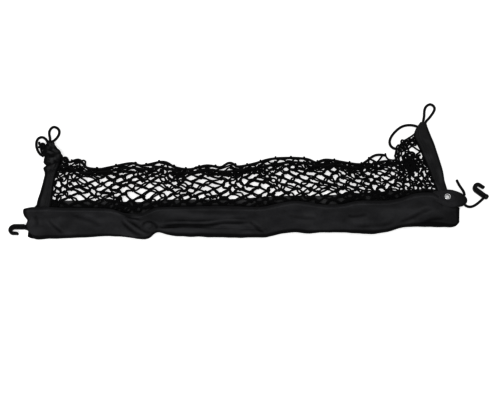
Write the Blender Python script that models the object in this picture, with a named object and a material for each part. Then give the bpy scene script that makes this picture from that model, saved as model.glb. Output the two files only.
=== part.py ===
"""Cargo net: a puffed cloth pocket one metre wide with a doubled knotted net behind it.

The net lies slack on a flat surface, seen from in front: X runs along the pocket, Y runs from
the pocket's rolled bottom edge up to the hanging loops, and Z is up. The tables and sizes are
in millimetres, measured from one layout point, and each solid is moved at the end of its making
so that the origin is under the middle of the whole net.
"""

import math
import random

import bmesh
import bpy
from mathutils import Matrix, Vector

MM = 0.001
LAYOUT_CENTRE = Vector((-5.2, 94.33, 0.0))

CLOTH = 1.6          # panel cloth
HEM = 2.6            # panel cloth turned over twice
SEAT = 0.3           # air left between two pieces that touch
CORD = 4.0           # elastic cord, across
STRAND = 3.0         # net twine, across

# The pocket's front panel, one row for each section from left to right:
# where its hem is and how high, where its bottom roll is, the height of its crown,
# and the depth of the long crease above the roll.
FRONT_SECTIONS = (
    # x, hem_y, hem_z, roll_y, crown, crease
    (-498, 13, 3.2, -40, 5.5, 0),
    (-487, 21, 6.0, -45, 10, 0),
    (-468, 25, 10.0, -53, 14, 0),
    (-420, 24, 11.0, -53, 16, 0),
    (-340, 22, 10.5, -51, 15, 0),
    (-300, 18, 12.0, -49, 16, 0),
    (-262, 8, 15.0, -49, 18, 1),
    (-232, 7, 15.0, -52, 19, 2),
    (-210, 16, 12.0, -51, 18, 7),
    (-190, 21, 11.0, -43, 14, 6),
    (-150, 23, 10.0, -46, 15, 5),
    (-60, 25, 10.0, -48, 15, 5),
    (40, 23, 10.0, -49, 15, 4),
    (64, 27, 10.0, -46, 15, 1),
    (92, 33, 10.0, -41, 14, 0),
    (122, 38, 10.5, -39, 15, 0),
    (152, 33, 13.0, -43, 17, 0),
    (190, 26, 15.0, -39, 18, 0),
    (230, 28, 14.0, -38, 17, 0),
    (262, 38, 11.0, -40, 16, 0),
    (300, 41, 12.0, -40, 16, 0),
    (335, 41, 14.0, -34, 17, 0),
    (365, 47, 12.0, -24, 16, 0),
    (400, 57, 10.0, -22, 14, 0),
    (436, 60, 7.0, -23, 11, 0),
    (456, 48, 6.2, -23, 9, 0),
    (472, 36, 5.4, -23, 8, 0),
    (485, 27, 4.6, -19, 7, 0),
    (496, 16, 3.2, -7, 5, 0),
)

# The back panel's top edge.
BACK_EDGE = (
    # x, y
    (-483.7, 4), (-478, 22), (-464, 38), (-435, 42), (-340, 42), (-235, 39), (-166, 45),
    (-28, 46), (41, 51), (111, 55), (180, 55), (250, 60), (319, 65), (389, 70), (446, 71),
    (458, 56), (468, 40), (482, 26), (494, 12),
)

# The folded strips at the net's two ends, one row for each section from the foot up.
LEFT_STRIP = (
    # y, outer_x, inner_x, height, lift off the floor
    (22, -469, -438, 3.9, 1.9),
    (46, -467, -437, 4.6, 1.9),
    (62, -465, -437, 6.0, 0.0),
    (84, -462, -437, 7.0, 0.0),
    (104, -460, -435, 8.0, 0.0),
    (117, -459, -432, 8.5, 0.0),
    (126, -464, -429, 10.0, 0.0),
    (138, -461, -427, 10.0, 0.0),
    (152, -465, -424, 12.0, 0.0),
    (163, -468, -425, 12.5, 0.0),
    (174, -469, -431, 11.0, 0.0),
    (185, -467, -439, 9.0, 0.0),
    (192, -464, -445, 6.5, 0.0),
)
RIGHT_STRIP = (
    (62, 475, 453, 3.9, 1.9),
    (76, 473, 449, 4.4, 1.9),
    (94, 470, 443, 6.0, 0.0),
    (120, 468, 437, 7.0, 0.0),
    (146, 463, 429, 8.0, 0.0),
    (172, 458, 422, 8.5, 0.0),
    (190, 454, 415, 8.5, 0.0),
    (205, 450, 410, 8.0, 0.0),
    (216, 447, 410, 7.5, 0.0),
    (228, 444, 414, 6.5, 0.0),
    (237, 442, 420, 6.0, 0.0),
    (243, 441, 424, 6.0, 0.0),
)

# The top edges of the two nets, with their peaks and dips; the front one hangs lower.
BACK_NET_EDGE = (
    # x, y
    (-430, 147), (-405, 136), (-384, 142), (-366, 122), (-333, 117), (-310, 122),
    (-261, 133), (-235, 127), (-186, 136), (-158, 122), (-122, 117), (-83, 127),
    (-50, 123), (-29, 134), (-10, 124), (30, 132), (70, 144), (113, 147), (151, 144),
    (173, 135), (197, 142), (242, 134), (277, 130), (293, 138), (314, 154), (336, 154),
    (350, 142), (358, 150), (367, 176), (380, 193), (394, 203), (408, 210),
)
FRONT_NET_EDGE = (
    (-430, 127), (-400, 119), (-372, 108), (-335, 108), (-300, 112), (-262, 120),
    (-225, 115), (-190, 121), (-150, 109), (-120, 106), (-85, 115), (-45, 110),
    (-10, 113), (30, 119), (75, 128), (115, 134), (150, 131), (185, 124), (215, 128),
    (250, 122), (285, 120), (312, 132), (340, 137), (362, 130), (390, 144), (427, 156),
)
CORD_ENDS = {"back": (-421.0, 336.0), "front": (-421.0, 420.0)}
NET_COLUMNS = 19
NET_ROW_HEIGHTS = (0.0, 0.14, 0.28, 0.42, 0.56, 0.69, 0.81, 0.91, 1.0)
NET_SLACK = (4.0, 2.2)     # how far a knot strays along X and Y
LAYER_STEP = 3.9           # from the back net up to the front net

# The right tab's outline, around its eyelet.
TAB_OUTLINE = (
    # x, y
    (440, 50), (441, 63), (458, 67), (476, 67), (493, 64), (509, 58), (517, 49),
    (517, 39), (509, 30), (497, 25), (482, 22), (466, 26), (451, 36),
)
TAB_EYE = Vector((472.0, 49.0, 9.9))
TAB_THICK = 2.6
TAB_TIP_HEIGHT = 3.2
EYE_HOLE = 6.3             # radii of the hole in the tab, and of the eyelet
EYELET_BORE = 4.4
EYELET_FLANGE = 8.0

# Plastic hook, drawn from its eye along +X with the crook on its +Y side.
HOOK_HEIGHT = 7.0
HOOK_SHANK = 27.0
HOOK_BEND = 7.75
HOOK_TIP = 11.0
HOOK_WIDTHS = (7.0, 7.0, 7.4, 6.6, 4.4)    # eye end, shank, bend, return, tip
HOOK_EYE = 5.0             # radii of the eye and of its hole
HOOK_BORE = 2.2
HOOKS = (
    # side, eye_x, eye_y, direction in degrees, lying on its other face
    ("left", -489.0, -24.0, 180.0, False),
    ("right", 562.5, 52.0, 139.0, True),
)

# Free cords: the points that each route passes through.
CORD_ROUTES = {
    "hang_loop_left": (
        (-456.5, 193.0, 3.2), (-457.3, 198, 2.8), (-459.5, 206, 2.3), (-462.5, 215, 2.2),
        (-463, 224, 2.2), (-459, 231.5, 2.2), (-451.5, 235.5, 2.2), (-443, 232.5, 2.2),
        (-437.5, 225, 2.2), (-437.2, 216, 2.2), (-440.5, 207.5, 2.2), (-446, 200, 2.5),
        (-450.3, 196.4, 3.0), (-451.2, 193.0, 3.2),
    ),
    "hang_loop_right": (
        (433.2, 243.8, 3.2), (434, 249, 2.8), (436, 257, 2.3), (438, 266, 2.2),
        (439.2, 276, 2.2), (441.5, 286, 2.2), (447, 294, 2.2), (455, 298, 2.2),
        (462.5, 294, 2.2), (465, 286, 2.2), (461.5, 277, 2.2), (455.5, 268, 2.2),
        (448.5, 259, 2.3), (441.0, 250.5, 2.8), (438.4, 244.1, 3.2),
    ),
    "slack_loop_left": (
        (-462.0, 193.2, 3.2), (-463.7, 197.5, 2.8), (-468, 203, 2.3), (-474, 207, 2.2),
        (-481, 207.2, 2.2), (-486.6, 202.5, 2.2), (-488.5, 195, 2.2), (-488, 186, 2.2),
        (-485.5, 177, 2.2), (-481.5, 169, 2.4), (-476, 162, 3.4), (-468.6, 156.6, 4.8),
    ),
    "slack_loop_right": (
        (418.4, 236.6, 3.2), (412, 239.2, 2.7), (403, 240.6, 2.3), (393, 240, 2.2),
        (383, 236.8, 2.2), (374, 231, 2.2), (365.5, 223, 2.2), (358, 214, 2.2),
        (352.5, 204.5, 2.2), (350, 195, 2.2), (351.2, 186, 2.2), (356.5, 179.5, 2.4),
        (362, 177.0, 2.8), (368.2, 176.2, 3.4),
    ),
    "cord_stub_left": (
        (-471.0, 163.6, 5.2), (-473.6, 170, 4.2), (-475.6, 177, 3.2), (-477.4, 184, 2.4),
        (-481.2, 190.2, 2.2), (-482.4, 194.0, 2.2),
    ),
    "hook_cord_right": (
        (511.6, 31.4, 3.2), (517, 28.0, 2.5), (523.5, 27.0, 2.2), (530.5, 28.8, 2.2),
        (538, 33.2, 2.2), (545, 38.6, 2.4), (551.5, 44.4, 2.9), (557.3, 49.7, 3.5),
    ),
    "cord_tail_right": (
        (513.2, 56.4, 3.4), (512.5, 64, 2.9), (509.6, 71, 2.3), (505.5, 78.6, 2.2),
        (502, 86.4, 2.2), (499.4, 94.4, 2.2),
    ),
}


def material(name, colour, roughness, metallic=0.0):
    """A plain Principled finish."""
    finish = bpy.data.materials.new(name)
    finish.use_nodes = True
    shader = finish.node_tree.nodes["Principled BSDF"]
    shader.inputs["Base Color"].default_value = (*colour, 1.0)
    shader.inputs["Roughness"].default_value = roughness
    shader.inputs["Metallic"].default_value = metallic
    return finish


def settled(point):
    """A layout point in millimetres, as a place in metres about the origin."""
    return (Vector(point) - LAYOUT_CENTRE) * MM


def add_solid(name, points, faces, finish):
    """One closed solid from its layout points and faces, smooth with sharp edges kept."""
    mesh = bpy.data.meshes.new(name)
    mesh.from_pydata([settled(point) for point in points], [], faces)
    shell = bmesh.new()
    shell.from_mesh(mesh)
    bmesh.ops.recalc_face_normals(shell, faces=shell.faces)
    shell.to_mesh(mesh)
    shell.free()
    mesh.shade_smooth()
    mesh.set_sharp_from_angle(angle=math.radians(50))
    solid = bpy.data.objects.new(name, mesh)
    solid.data.materials.append(finish)
    bpy.context.collection.objects.link(solid)
    return solid


def smooth_rows(rows, steps):
    """Rows of numbers with steps - 1 more rows eased in between each pair."""
    vectors = [[float(value) for value in row] for row in rows]
    ends = [vectors[0]] + vectors + [vectors[-1]]
    result = []
    for index in range(1, len(ends) - 2):
        before, start, stop, after = ends[index - 1:index + 3]
        for step in range(steps):
            t = step / steps
            result.append([
                0.5 * (2 * b + (c - a) * t + (2 * a - 5 * b + 4 * c - d) * t ** 2
                       + (3 * b - a - 3 * c + d) * t ** 3)
                for a, b, c, d in zip(before, start, stop, after)
            ])
    result.append(vectors[-1])
    return result


def read_table(rows, key, column):
    """The value in one column, eased between the two rows on either side of the key."""
    if key <= rows[0][0]:
        return rows[0][column]
    for low, high in zip(rows, rows[1:]):
        if key <= high[0]:
            t = (key - low[0]) / (high[0] - low[0])
            t = t * t * (3 - 2 * t) * 0.4 + t * 0.6
            return low[column] + (high[column] - low[column]) * t
    return rows[-1][column]


def cloth_solid(name, sections, finish):
    """Cloth swept through its sections; each holds (middle, normal, thickness) in turn."""
    points = []
    for section in sections:
        for middle, normal, thick in section:
            points.append(middle + normal * (thick / 2))
            points.append(middle - normal * (thick / 2))
    count = len(sections[0])
    ring = [2 * i for i in range(count)] + [2 * i + 1 for i in reversed(range(count))]
    faces = []
    for row in range(len(sections) - 1):
        here = row * 2 * count
        there = here + 2 * count
        for a, b in zip(ring, ring[1:] + ring[:1]):
            faces.append((here + a, here + b, there + b, there + a))
    for base in (0, (len(sections) - 1) * 2 * count):
        for i in range(count - 1):
            faces.append((base + 2 * i, base + 2 * i + 2, base + 2 * i + 3, base + 2 * i + 1))
    return add_solid(name, points, faces, finish)


def with_normals(middles, thicks, along):
    """Cloth middles with their normals, square to the line they make and to along."""
    section = []
    for index, middle in enumerate(middles):
        before = middles[max(index - 1, 0)]
        after = middles[min(index + 1, len(middles) - 1)]
        normal = along.cross(after - before).normalized()
        section.append((middle, normal, thicks[index]))
    return section


def lean(x):
    """How far the roll's end stands in from the hem's, where a section leans at an end."""
    return 21.0 * math.exp(-(x + 498.0) / 16.0) - 4.0 * math.exp((x - 496.0) / 10.0)


def front_panel(finish):
    """The pocket's front: a roll along the bottom, a soft crown, a long crease and a hem."""
    roll = ((9.0, 2.9), (3.2, 3.0), (0.4, 4.2), (0.0, 6.8))      # inset from roll_y, height
    spans = (0.05, 0.12, 0.19, 0.26, 0.33, 0.43, 0.56, 0.70, 0.83, 0.92, 1.0)
    sections = []
    for x, hem_y, hem_z, roll_y, crown, crease in smooth_rows(FRONT_SECTIONS, 2):
        flat = min(crown / 14.0, 1.0)
        bow = 4.5 * math.exp(-(x + 498.0) / 9.0)
        middles = []
        thicks = []
        for inset, height in roll:
            height = 2.9 + (height - 2.9) * flat
            middles.append(Vector((x + lean(x), roll_y + inset * (0.4 + 0.6 * flat), height)))
            thicks.append(CLOTH)
        for t in spans:
            rise = math.sin(math.pi * min(t / 0.9, 1.0) ** 0.62) ** 0.8
            base = 6.8 * flat + (hem_z - 6.8 * flat) * t
            height = base + (crown - (6.8 + hem_z) / 2) * rise
            height -= crease * math.exp(-((t - 0.26) / 0.07) ** 2)
            height = max(height, 2.95)
            side = x + lean(x) * (1 - t) + bow * math.sin(math.pi * t)
            middles.append(Vector((side, roll_y + (hem_y - roll_y) * t, height)))
            thicks.append(HEM if t > 0.9 else CLOTH)
        sections.append(with_normals(middles, thicks, Vector((1, 0, 0))))
    return cloth_solid("front_panel", sections, finish)


def back_panel(finish):
    """The pocket's back: flat on the floor, from under the roll to the net's foot."""
    sections = []
    for x, y in smooth_rows(BACK_EDGE, 3):
        roll_y = read_table(FRONT_SECTIONS, x, 3) + 3.0
        middles = [Vector((x, roll_y + (y - roll_y) * t, CLOTH / 2)) for t in (0.0, 0.5, 1.0)]
        sections.append([(middle, Vector((0, 0, 1)), CLOTH) for middle in middles])
    return cloth_solid("back_panel", sections, finish)


def side_strip(name, rows, rumple, finish):
    """A strip of cloth folded in two, its fold outside and its open edges on the net."""
    spans = ((0.0, 0.0), (0.5, 0.0), (0.94, 0.08), (1.0, 0.5), (0.94, 0.92), (0.62, 1.0),
             (0.3, 1.0), (0.0, 1.0))       # share of the width, share of the height
    sections = []
    stations = smooth_rows(rows, 2)
    for index, (y, outer, inner, height, lift) in enumerate(stations):
        middles = []
        low = max(lift, 0.0) + CLOTH / 2
        for across, up in spans:
            wave = rumple * math.sin(2.3 * index + 5.0 * across) * min(index / 12.0, 1.0)
            z = low + (height - CLOTH) * up + (wave if up == 1.0 else 0.0)
            middles.append(Vector((inner + (outer - inner) * across, y, z)))
        along = Vector((0, 1, 0)) if outer > inner else Vector((0, -1, 0))
        sections.append(with_normals(middles, [CLOTH] * len(middles), along))
    return cloth_solid(name, sections, finish)


def drape(x, y):
    """How high the back net's twine lies above the floor, over the panel's edge and up."""
    over_edge = y - read_table(BACK_EDGE, x, 1)
    edge = read_table(BACK_NET_EDGE, x, 1)
    lap = 1.5 * max(0.0, min(1.0, (32.0 - over_edge) / 16.0))
    top = max(0.0, min(1.0, 1.0 - (edge - y) / 45.0))
    roll = 1.2 + math.sin(x / 31.0) * 0.7 + math.sin(x / 13.0 + y / 17.0) * 0.4
    return 1.9 + lap + top * top * (roll + 1.6)


def net_knot(edge, column, row):
    """The place of one knot of the net before it strays."""
    u = column / NET_COLUMNS
    x = -425.0 + 850.0 * u
    for _ in range(4):
        foot_y = read_table(BACK_EDGE, x, 1) - 4.0
        y = foot_y + (read_table(edge, x, 1) - foot_y) * NET_ROW_HEIGHTS[row]
        left = read_table(LEFT_STRIP, y, 2) + 2.4
        right = read_table(RIGHT_STRIP, y, 2) - 2.4
        x = left + (right - left) * u
    return x, y


def net(name, edge, step, seed, finish):
    """A diamond net: knots in staggered rows, joined into a sheet that is left as twine."""
    stray = random.Random(seed)
    last_row = len(NET_ROW_HEIGHTS) - 1
    knots = {}
    points = []
    for row in range(last_row + 1):
        half = 0.5 if row % 2 else 0.0
        for column in range(NET_COLUMNS if row % 2 else NET_COLUMNS + 1):
            x, y = net_knot(edge, column + half, row)
            at_side = row % 2 == 0 and column in (0, NET_COLUMNS)
            if 0 < row < last_row and not at_side:
                x += stray.uniform(-1, 1) * NET_SLACK[0]
                y += stray.uniform(-1, 1) * NET_SLACK[1]
            knots[row, column] = len(points)
            points.append(Vector((x, y, drape(x, y) + step)))
    faces = []
    for row in range(1, last_row):
        for column in range(NET_COLUMNS - 1 if row % 2 else NET_COLUMNS):
            upper = column + 1 if row % 2 else column
            faces.append((knots[row, column], knots[row - 1, upper],
                          knots[row, column + 1], knots[row + 1, upper]))
    sheet = add_solid(name, points, faces, finish)
    twine = sheet.modifiers.new("twine", "WIREFRAME")
    twine.thickness = STRAND * MM
    twine.use_even_offset = False
    twine.use_boundary = True
    return sheet


def add_cord(name, route, finish, spacing=2.4):
    """A round cord along a smooth curve through its route's points."""
    dense = [Vector(row) for row in smooth_rows(route, 12)]
    lengths = [0.0]
    for start, stop in zip(dense, dense[1:]):
        lengths.append(lengths[-1] + (stop - start).length)
    count = min(80, max(8, round(lengths[-1] / (spacing * CORD)) + 1))
    curve = bpy.data.curves.new(name, "CURVE")
    curve.dimensions = "3D"
    curve.bevel_depth = CORD / 2 * MM
    curve.bevel_resolution = 2
    curve.use_fill_caps = True
    line = curve.splines.new("POLY")
    line.points.add(count - 1)
    place = 0
    for index in range(count):
        reach = lengths[-1] * index / (count - 1)
        while place < len(lengths) - 2 and lengths[place + 1] < reach:
            place += 1
        t = (reach - lengths[place]) / (lengths[place + 1] - lengths[place])
        spot = settled(dense[place].lerp(dense[place + 1], t))
        line.points[index].co = (*spot, 1.0)
    cord = bpy.data.objects.new(name, curve)
    cord.data.materials.append(finish)
    bpy.context.collection.objects.link(cord)
    return cord


def edge_route(edge, ends, step):
    """The route of the cord threaded along a net's top edge, just clear of its knots."""
    above = STRAND / 2 + SEAT + CORD / 2 + 0.7
    first, last = ends
    count = round((last - first) / 9.0)
    route = []
    for index in range(count + 1):
        x = first + (last - first) * index / count
        slope = (read_table(edge, x + 3, 1) - read_table(edge, x - 3, 1)) / 6.0
        out = Vector((-slope, 1.0)).normalized() * above
        spot = Vector((x, read_table(edge, x, 1))) + out
        route.append((spot.x, spot.y, drape(spot.x, spot.y) + step))
    return route


def tab_height(x, y):
    """The tab's middle: level round its eyelet, down at its tip."""
    run = max(0.0, x - (TAB_EYE.x + EYELET_FLANGE + 2.0)) / 32.0
    return TAB_EYE.z + (TAB_TIP_HEIGHT - TAB_EYE.z) * min(run, 1.0) ** 1.3


def end_tab(finish):
    """The right tab: doubled cloth with a round hole, sewn on the pocket's corner."""
    count = len(TAB_OUTLINE)
    shares = (0.0, 0.3, 0.65, 1.0)
    points = []
    for side in (1, -1):
        for share in shares:
            for x, y in TAB_OUTLINE:
                out = Vector((x, y)) - TAB_EYE.xy
                rim = TAB_EYE.xy + out.normalized() * EYE_HOLE
                spot = rim.lerp(Vector((x, y)), share)
                z = tab_height(spot.x, spot.y) + side * TAB_THICK / 2
                points.append(Vector((spot.x, spot.y, z)))
    faces = []
    layer = count * len(shares)
    for k in range(count):
        n = (k + 1) % count
        for side in (0, layer):
            for ring in range(len(shares) - 1):
                a = side + ring * count
                faces.append((a + k, a + n, a + count + n, a + count + k))
        rim = layer - count
        faces.append((k, n, layer + n, layer + k))
        faces.append((rim + k, rim + n, layer + rim + n, layer + rim + k))
    return add_solid("end_tab_right", points, faces, finish)


def eyelet(finish):
    """A pressed metal eyelet: a barrel through the tab's hole and a rolled flange on top."""
    barrel = EYE_HOLE - 1.0
    top = TAB_THICK / 2 + SEAT
    profile = (
        (EYELET_BORE, -top), (barrel, -top), (barrel, top), (EYELET_FLANGE, top),
        (EYELET_FLANGE - 0.3, top + 0.8), (EYELET_BORE + 1.6, top + 1.3),
        (EYELET_BORE + 0.3, top + 0.9),
    )
    steps = 20
    points = []
    for k in range(steps):
        angle = 2 * math.pi * k / steps
        for radius, z in profile:
            reach = Vector((math.cos(angle), math.sin(angle), 0)) * radius
            points.append(TAB_EYE + reach + Vector((0, 0, z)))
    size = len(profile)
    faces = []
    for k in range(steps):
        here = k * size
        there = (k + 1) % steps * size
        for a in range(size):
            b = (a + 1) % size
            faces.append((here + a, here + b, there + b, there + a))
    return add_solid("eyelet_right", points, faces, finish)


def hook_line():
    """The hook's middle line as (point, width) pairs: shank, bend and returning tip."""
    eye_end, shank, bend, back, tip = HOOK_WIDTHS
    line = [(Vector((HOOK_EYE - 1.2, 0)), eye_end), (Vector((HOOK_SHANK * 0.6, 0)), shank)]
    turn = 10
    for k in range(turn + 1):
        angle = math.pi * k / turn
        reach = Vector((math.sin(angle), 1 - math.cos(angle))) * HOOK_BEND
        width = shank + (bend - shank) * math.sin(angle / 2) if k < 6 else back
        line.append((Vector((HOOK_SHANK, 0)) + reach, width))
    end = Vector((HOOK_SHANK, 2 * HOOK_BEND))
    line.append((end + Vector((-HOOK_TIP * 0.6, 0.3)), (back + tip) / 2))
    line.append((end + Vector((-HOOK_TIP, 1.4)), tip))
    return line


def hook_mesh():
    """The hook as an outline around its middle line, raised to its height, with an eye."""
    line = hook_line()
    left = []
    right = []
    for index, (spot, width) in enumerate(line):
        before = line[max(index - 1, 0)][0]
        after = line[min(index + 1, len(line) - 1)][0]
        run = (after - before).normalized()
        side = Vector((-run.y, run.x)) * (width / 2)
        left.append(spot + side)
        right.append(spot - side)
    shape = bmesh.new()
    rows = []
    for height in (0.0, HOOK_HEIGHT):
        rows.append([[shape.verts.new((p.x * MM, p.y * MM, height * MM)) for p in edge]
                     for edge in (left, right)])
    (low_left, low_right), (top_left, top_right) = rows
    for a in range(len(line) - 1):
        b = a + 1
        shape.faces.new((low_left[a], low_left[b], low_right[b], low_right[a]))
        shape.faces.new((top_left[a], top_right[a], top_right[b], top_left[b]))
        shape.faces.new((low_left[a], top_left[a], top_left[b], low_left[b]))
        shape.faces.new((low_right[a], low_right[b], top_right[b], top_right[a]))
    for end in (0, -1):
        shape.faces.new((low_left[end], low_right[end], top_right[end], top_left[end]))
    bmesh.ops.recalc_face_normals(shape, faces=shape.faces)
    mesh = bpy.data.meshes.new("hook")
    shape.to_mesh(mesh)
    shape.free()
    return mesh


def round_block(name, radius, low, high):
    """A round block on the local Z axis, for a hook's eye or the hole in it."""
    shape = bmesh.new()
    bmesh.ops.create_cone(shape, cap_ends=True, segments=20, radius1=radius * MM,
                          radius2=radius * MM, depth=(high - low) * MM,
                          matrix=Matrix.Translation((0, 0, (low + high) / 2 * MM)))
    mesh = bpy.data.meshes.new(name)
    shape.to_mesh(mesh)
    shape.free()
    block = bpy.data.objects.new(name, mesh)
    block.hide_render = True
    block.display_type = "WIRE"
    bpy.context.collection.objects.link(block)
    return block


def add_hook(side, eye_x, eye_y, direction, flipped, finish):
    """One hook, laid flat in its direction: its arm and eye are one moulding."""
    hook = bpy.data.objects.new("hook_" + side, hook_mesh())
    hook.data.materials.append(finish)
    bpy.context.collection.objects.link(hook)
    boss = round_block("eye_guide_" + side, HOOK_EYE, 0.0, HOOK_HEIGHT)
    bore = round_block("bore_guide_" + side, HOOK_BORE, -2.0, HOOK_HEIGHT + 2.0)
    for guide, operation in ((boss, "UNION"), (bore, "DIFFERENCE")):
        guide.parent = hook
        cut = hook.modifiers.new(guide.name, "BOOLEAN")
        cut.operation = operation
        cut.object = guide
    turn = math.radians(direction)
    if flipped:
        hook.location = settled((eye_x, eye_y, HOOK_HEIGHT))
        hook.rotation_euler = (math.pi, 0.0, turn)
    else:
        hook.location = settled((eye_x, eye_y, 0.0))
        hook.rotation_euler = (0.0, 0.0, turn)
    return hook


for old in list(bpy.data.objects):
    bpy.data.objects.remove(old, do_unlink=True)

panel_cloth = material("panel_cloth", (0.014, 0.014, 0.015), 0.85)
strip_cloth = material("strip_cloth", (0.010, 0.010, 0.011), 0.9)
net_twine = material("net_twine", (0.006, 0.006, 0.007), 0.8)
elastic_cord = material("elastic_cord", (0.005, 0.005, 0.006), 0.6)
hook_plastic = material("hook_plastic", (0.012, 0.012, 0.013), 0.4)
eyelet_metal = material("eyelet_metal", (0.75, 0.75, 0.76), 0.3, metallic=1.0)

front_panel(panel_cloth)
back_panel(panel_cloth)
side_strip("side_panel_left", LEFT_STRIP, 0.6, strip_cloth)
side_strip("side_panel_right", RIGHT_STRIP, 0.3, strip_cloth)
end_tab(panel_cloth)
eyelet(eyelet_metal)
net("net_back", BACK_NET_EDGE, 0.0, 11, net_twine)
net("net_front", FRONT_NET_EDGE, LAYER_STEP, 29, net_twine)
back_route = edge_route(BACK_NET_EDGE, CORD_ENDS["back"], 0.5)
front_route = edge_route(FRONT_NET_EDGE, CORD_ENDS["front"], LAYER_STEP + 1.0)
add_cord("top_cord_back", back_route, elastic_cord, 3.0)
add_cord("top_cord_front", front_route, elastic_cord, 3.0)
for cord_name, cord_route in CORD_ROUTES.items():
    add_cord(cord_name, cord_route, elastic_cord)
for hook_row in HOOKS:
    add_hook(*hook_row, hook_plastic)
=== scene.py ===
import math

import bpy
import numpy as np
from mathutils import Matrix, Vector, noise


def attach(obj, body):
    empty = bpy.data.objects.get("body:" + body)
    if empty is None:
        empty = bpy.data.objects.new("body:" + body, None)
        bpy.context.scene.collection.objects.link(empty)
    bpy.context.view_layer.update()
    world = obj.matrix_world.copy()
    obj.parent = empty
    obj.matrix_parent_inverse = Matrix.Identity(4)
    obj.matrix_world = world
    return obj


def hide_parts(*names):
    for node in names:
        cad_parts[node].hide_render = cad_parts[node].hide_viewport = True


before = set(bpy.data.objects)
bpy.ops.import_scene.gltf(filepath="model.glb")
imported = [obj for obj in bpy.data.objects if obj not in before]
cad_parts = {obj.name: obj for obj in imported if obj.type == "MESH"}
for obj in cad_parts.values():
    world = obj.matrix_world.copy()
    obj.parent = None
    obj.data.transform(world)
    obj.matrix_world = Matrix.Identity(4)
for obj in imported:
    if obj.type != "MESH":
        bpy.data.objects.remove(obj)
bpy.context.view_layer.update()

# ------------------------------------------------------------------ camera
# The net lies on a flat surface and is seen from above, 24 degrees off the
# vertical on the pocket's side, with all of it in view from hook to hook.
CAMERA_PLACE = (0.0236, -0.8323, 1.7540)
CAMERA_TILT = math.radians(24.0)
VIEW_GAMMA = 0.6                 # as hard as the photograph's print

camera_data = bpy.data.cameras.new("camera")
camera_data.lens = 60.0
camera_data.sensor_width = 36.0
camera = bpy.data.objects.new("camera", camera_data)
camera.location = CAMERA_PLACE
camera.rotation_euler = (CAMERA_TILT, 0.0, 0.0)
bpy.context.scene.collection.objects.link(camera)
bpy.context.scene.camera = camera
bpy.context.scene.view_settings.view_transform = "Standard"
bpy.context.scene.view_settings.gamma = VIEW_GAMMA

# -------------------------------------------------------------- free cords
# Elastic cord, about five and a half millimetres thick: rubber threads in a
# black braided sleeve. It makes the hanging loops and slack loops at the corners,
# the left knotted stub, the right hook's cord, and a free tail with a melted end.
CORD_WIDTH = 0.0054
CORD_SIDES = 18
CORD_POINT_STEP = 0.0014
CORD_DOME = 0.45                 # how far a cut end is rounded, in radii
CORD_BLACK = (0.010, 0.010, 0.011, 1.0)
CORD_GREY = (0.026, 0.026, 0.027, 1.0)
CORD_ROUTES = {
    "hang_loop_left": (
        (-0.4503, 0.0987, 0.0032), (-0.4511, 0.1037, 0.0028), (-0.4526, 0.1117, 0.0023),
        (-0.4550, 0.1207, 0.0022), (-0.4554, 0.1297, 0.0022), (-0.4523, 0.1372, 0.0022),
        (-0.4463, 0.1412, 0.0022), (-0.4378, 0.1382, 0.0022), (-0.4323, 0.1307, 0.0022),
        (-0.4320, 0.1217, 0.0022), (-0.4353, 0.1132, 0.0022), (-0.4408, 0.1057, 0.0025),
        (-0.4451, 0.1021, 0.0030), (-0.4460, 0.0987, 0.0032),
    ),
    "hang_loop_right": (
        (0.4384, 0.1495, 0.0032), (0.4392, 0.1547, 0.0028), (0.4412, 0.1627, 0.0023),
        (0.4432, 0.1717, 0.0022), (0.4444, 0.1817, 0.0022), (0.4467, 0.1917, 0.0022),
        (0.4522, 0.1997, 0.0022), (0.4602, 0.2037, 0.0022), (0.4677, 0.1997, 0.0022),
        (0.4702, 0.1917, 0.0022), (0.4667, 0.1827, 0.0022), (0.4607, 0.1737, 0.0022),
        (0.4537, 0.1647, 0.0023), (0.4462, 0.1562, 0.0028), (0.4436, 0.1498, 0.0032),
    ),
    "slack_loop_left": (
        (-0.4568, 0.0989, 0.0032), (-0.4585, 0.1032, 0.0028), (-0.4628, 0.1087, 0.0023),
        (-0.4688, 0.1127, 0.0022), (-0.4758, 0.1129, 0.0022), (-0.4814, 0.1082, 0.0022),
        (-0.4833, 0.1007, 0.0022), (-0.4828, 0.0917, 0.0022), (-0.4803, 0.0827, 0.0022),
        (-0.4763, 0.0747, 0.0024), (-0.4708, 0.0677, 0.0034), (-0.4634, 0.0623, 0.0048),
    ),
    "slack_loop_right": (
        (0.4236, 0.1423, 0.0032), (0.4172, 0.1449, 0.0027), (0.4082, 0.1463, 0.0023),
        (0.3982, 0.1457, 0.0022), (0.3882, 0.1425, 0.0022), (0.3792, 0.1367, 0.0022),
        (0.3707, 0.1287, 0.0022), (0.3632, 0.1197, 0.0022), (0.3577, 0.1102, 0.0022),
        (0.3552, 0.1007, 0.0022), (0.3564, 0.0917, 0.0022), (0.3617, 0.0852, 0.0024),
        (0.3672, 0.0827, 0.0028), (0.3734, 0.0819, 0.0034),
    ),
    "cord_stub_left": (
        (-0.4658, 0.0693, 0.0052), (-0.4684, 0.0757, 0.0042), (-0.4704, 0.0827, 0.0032),
        (-0.4722, 0.0897, 0.0024), (-0.4760, 0.0959, 0.0022), (-0.4772, 0.0997, 0.0022),
    ),
    "hook_cord_right": (
        (0.5168, -0.0629, 0.0032), (0.5222, -0.0663, 0.0025), (0.5287, -0.0673, 0.0022),
        (0.5357, -0.0655, 0.0022), (0.5432, -0.0611, 0.0022), (0.5502, -0.0557, 0.0024),
        (0.5567, -0.0499, 0.0029), (0.5625, -0.0446, 0.0035),
    ),
    "cord_tail_right": (
        (0.5184, -0.0379, 0.0034), (0.5177, -0.0303, 0.0029), (0.5148, -0.0233, 0.0023),
        (0.5107, -0.0157, 0.0022), (0.5072, -0.0079, 0.0022), (0.5046, 0.0001, 0.0022),
    ),
}
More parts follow.
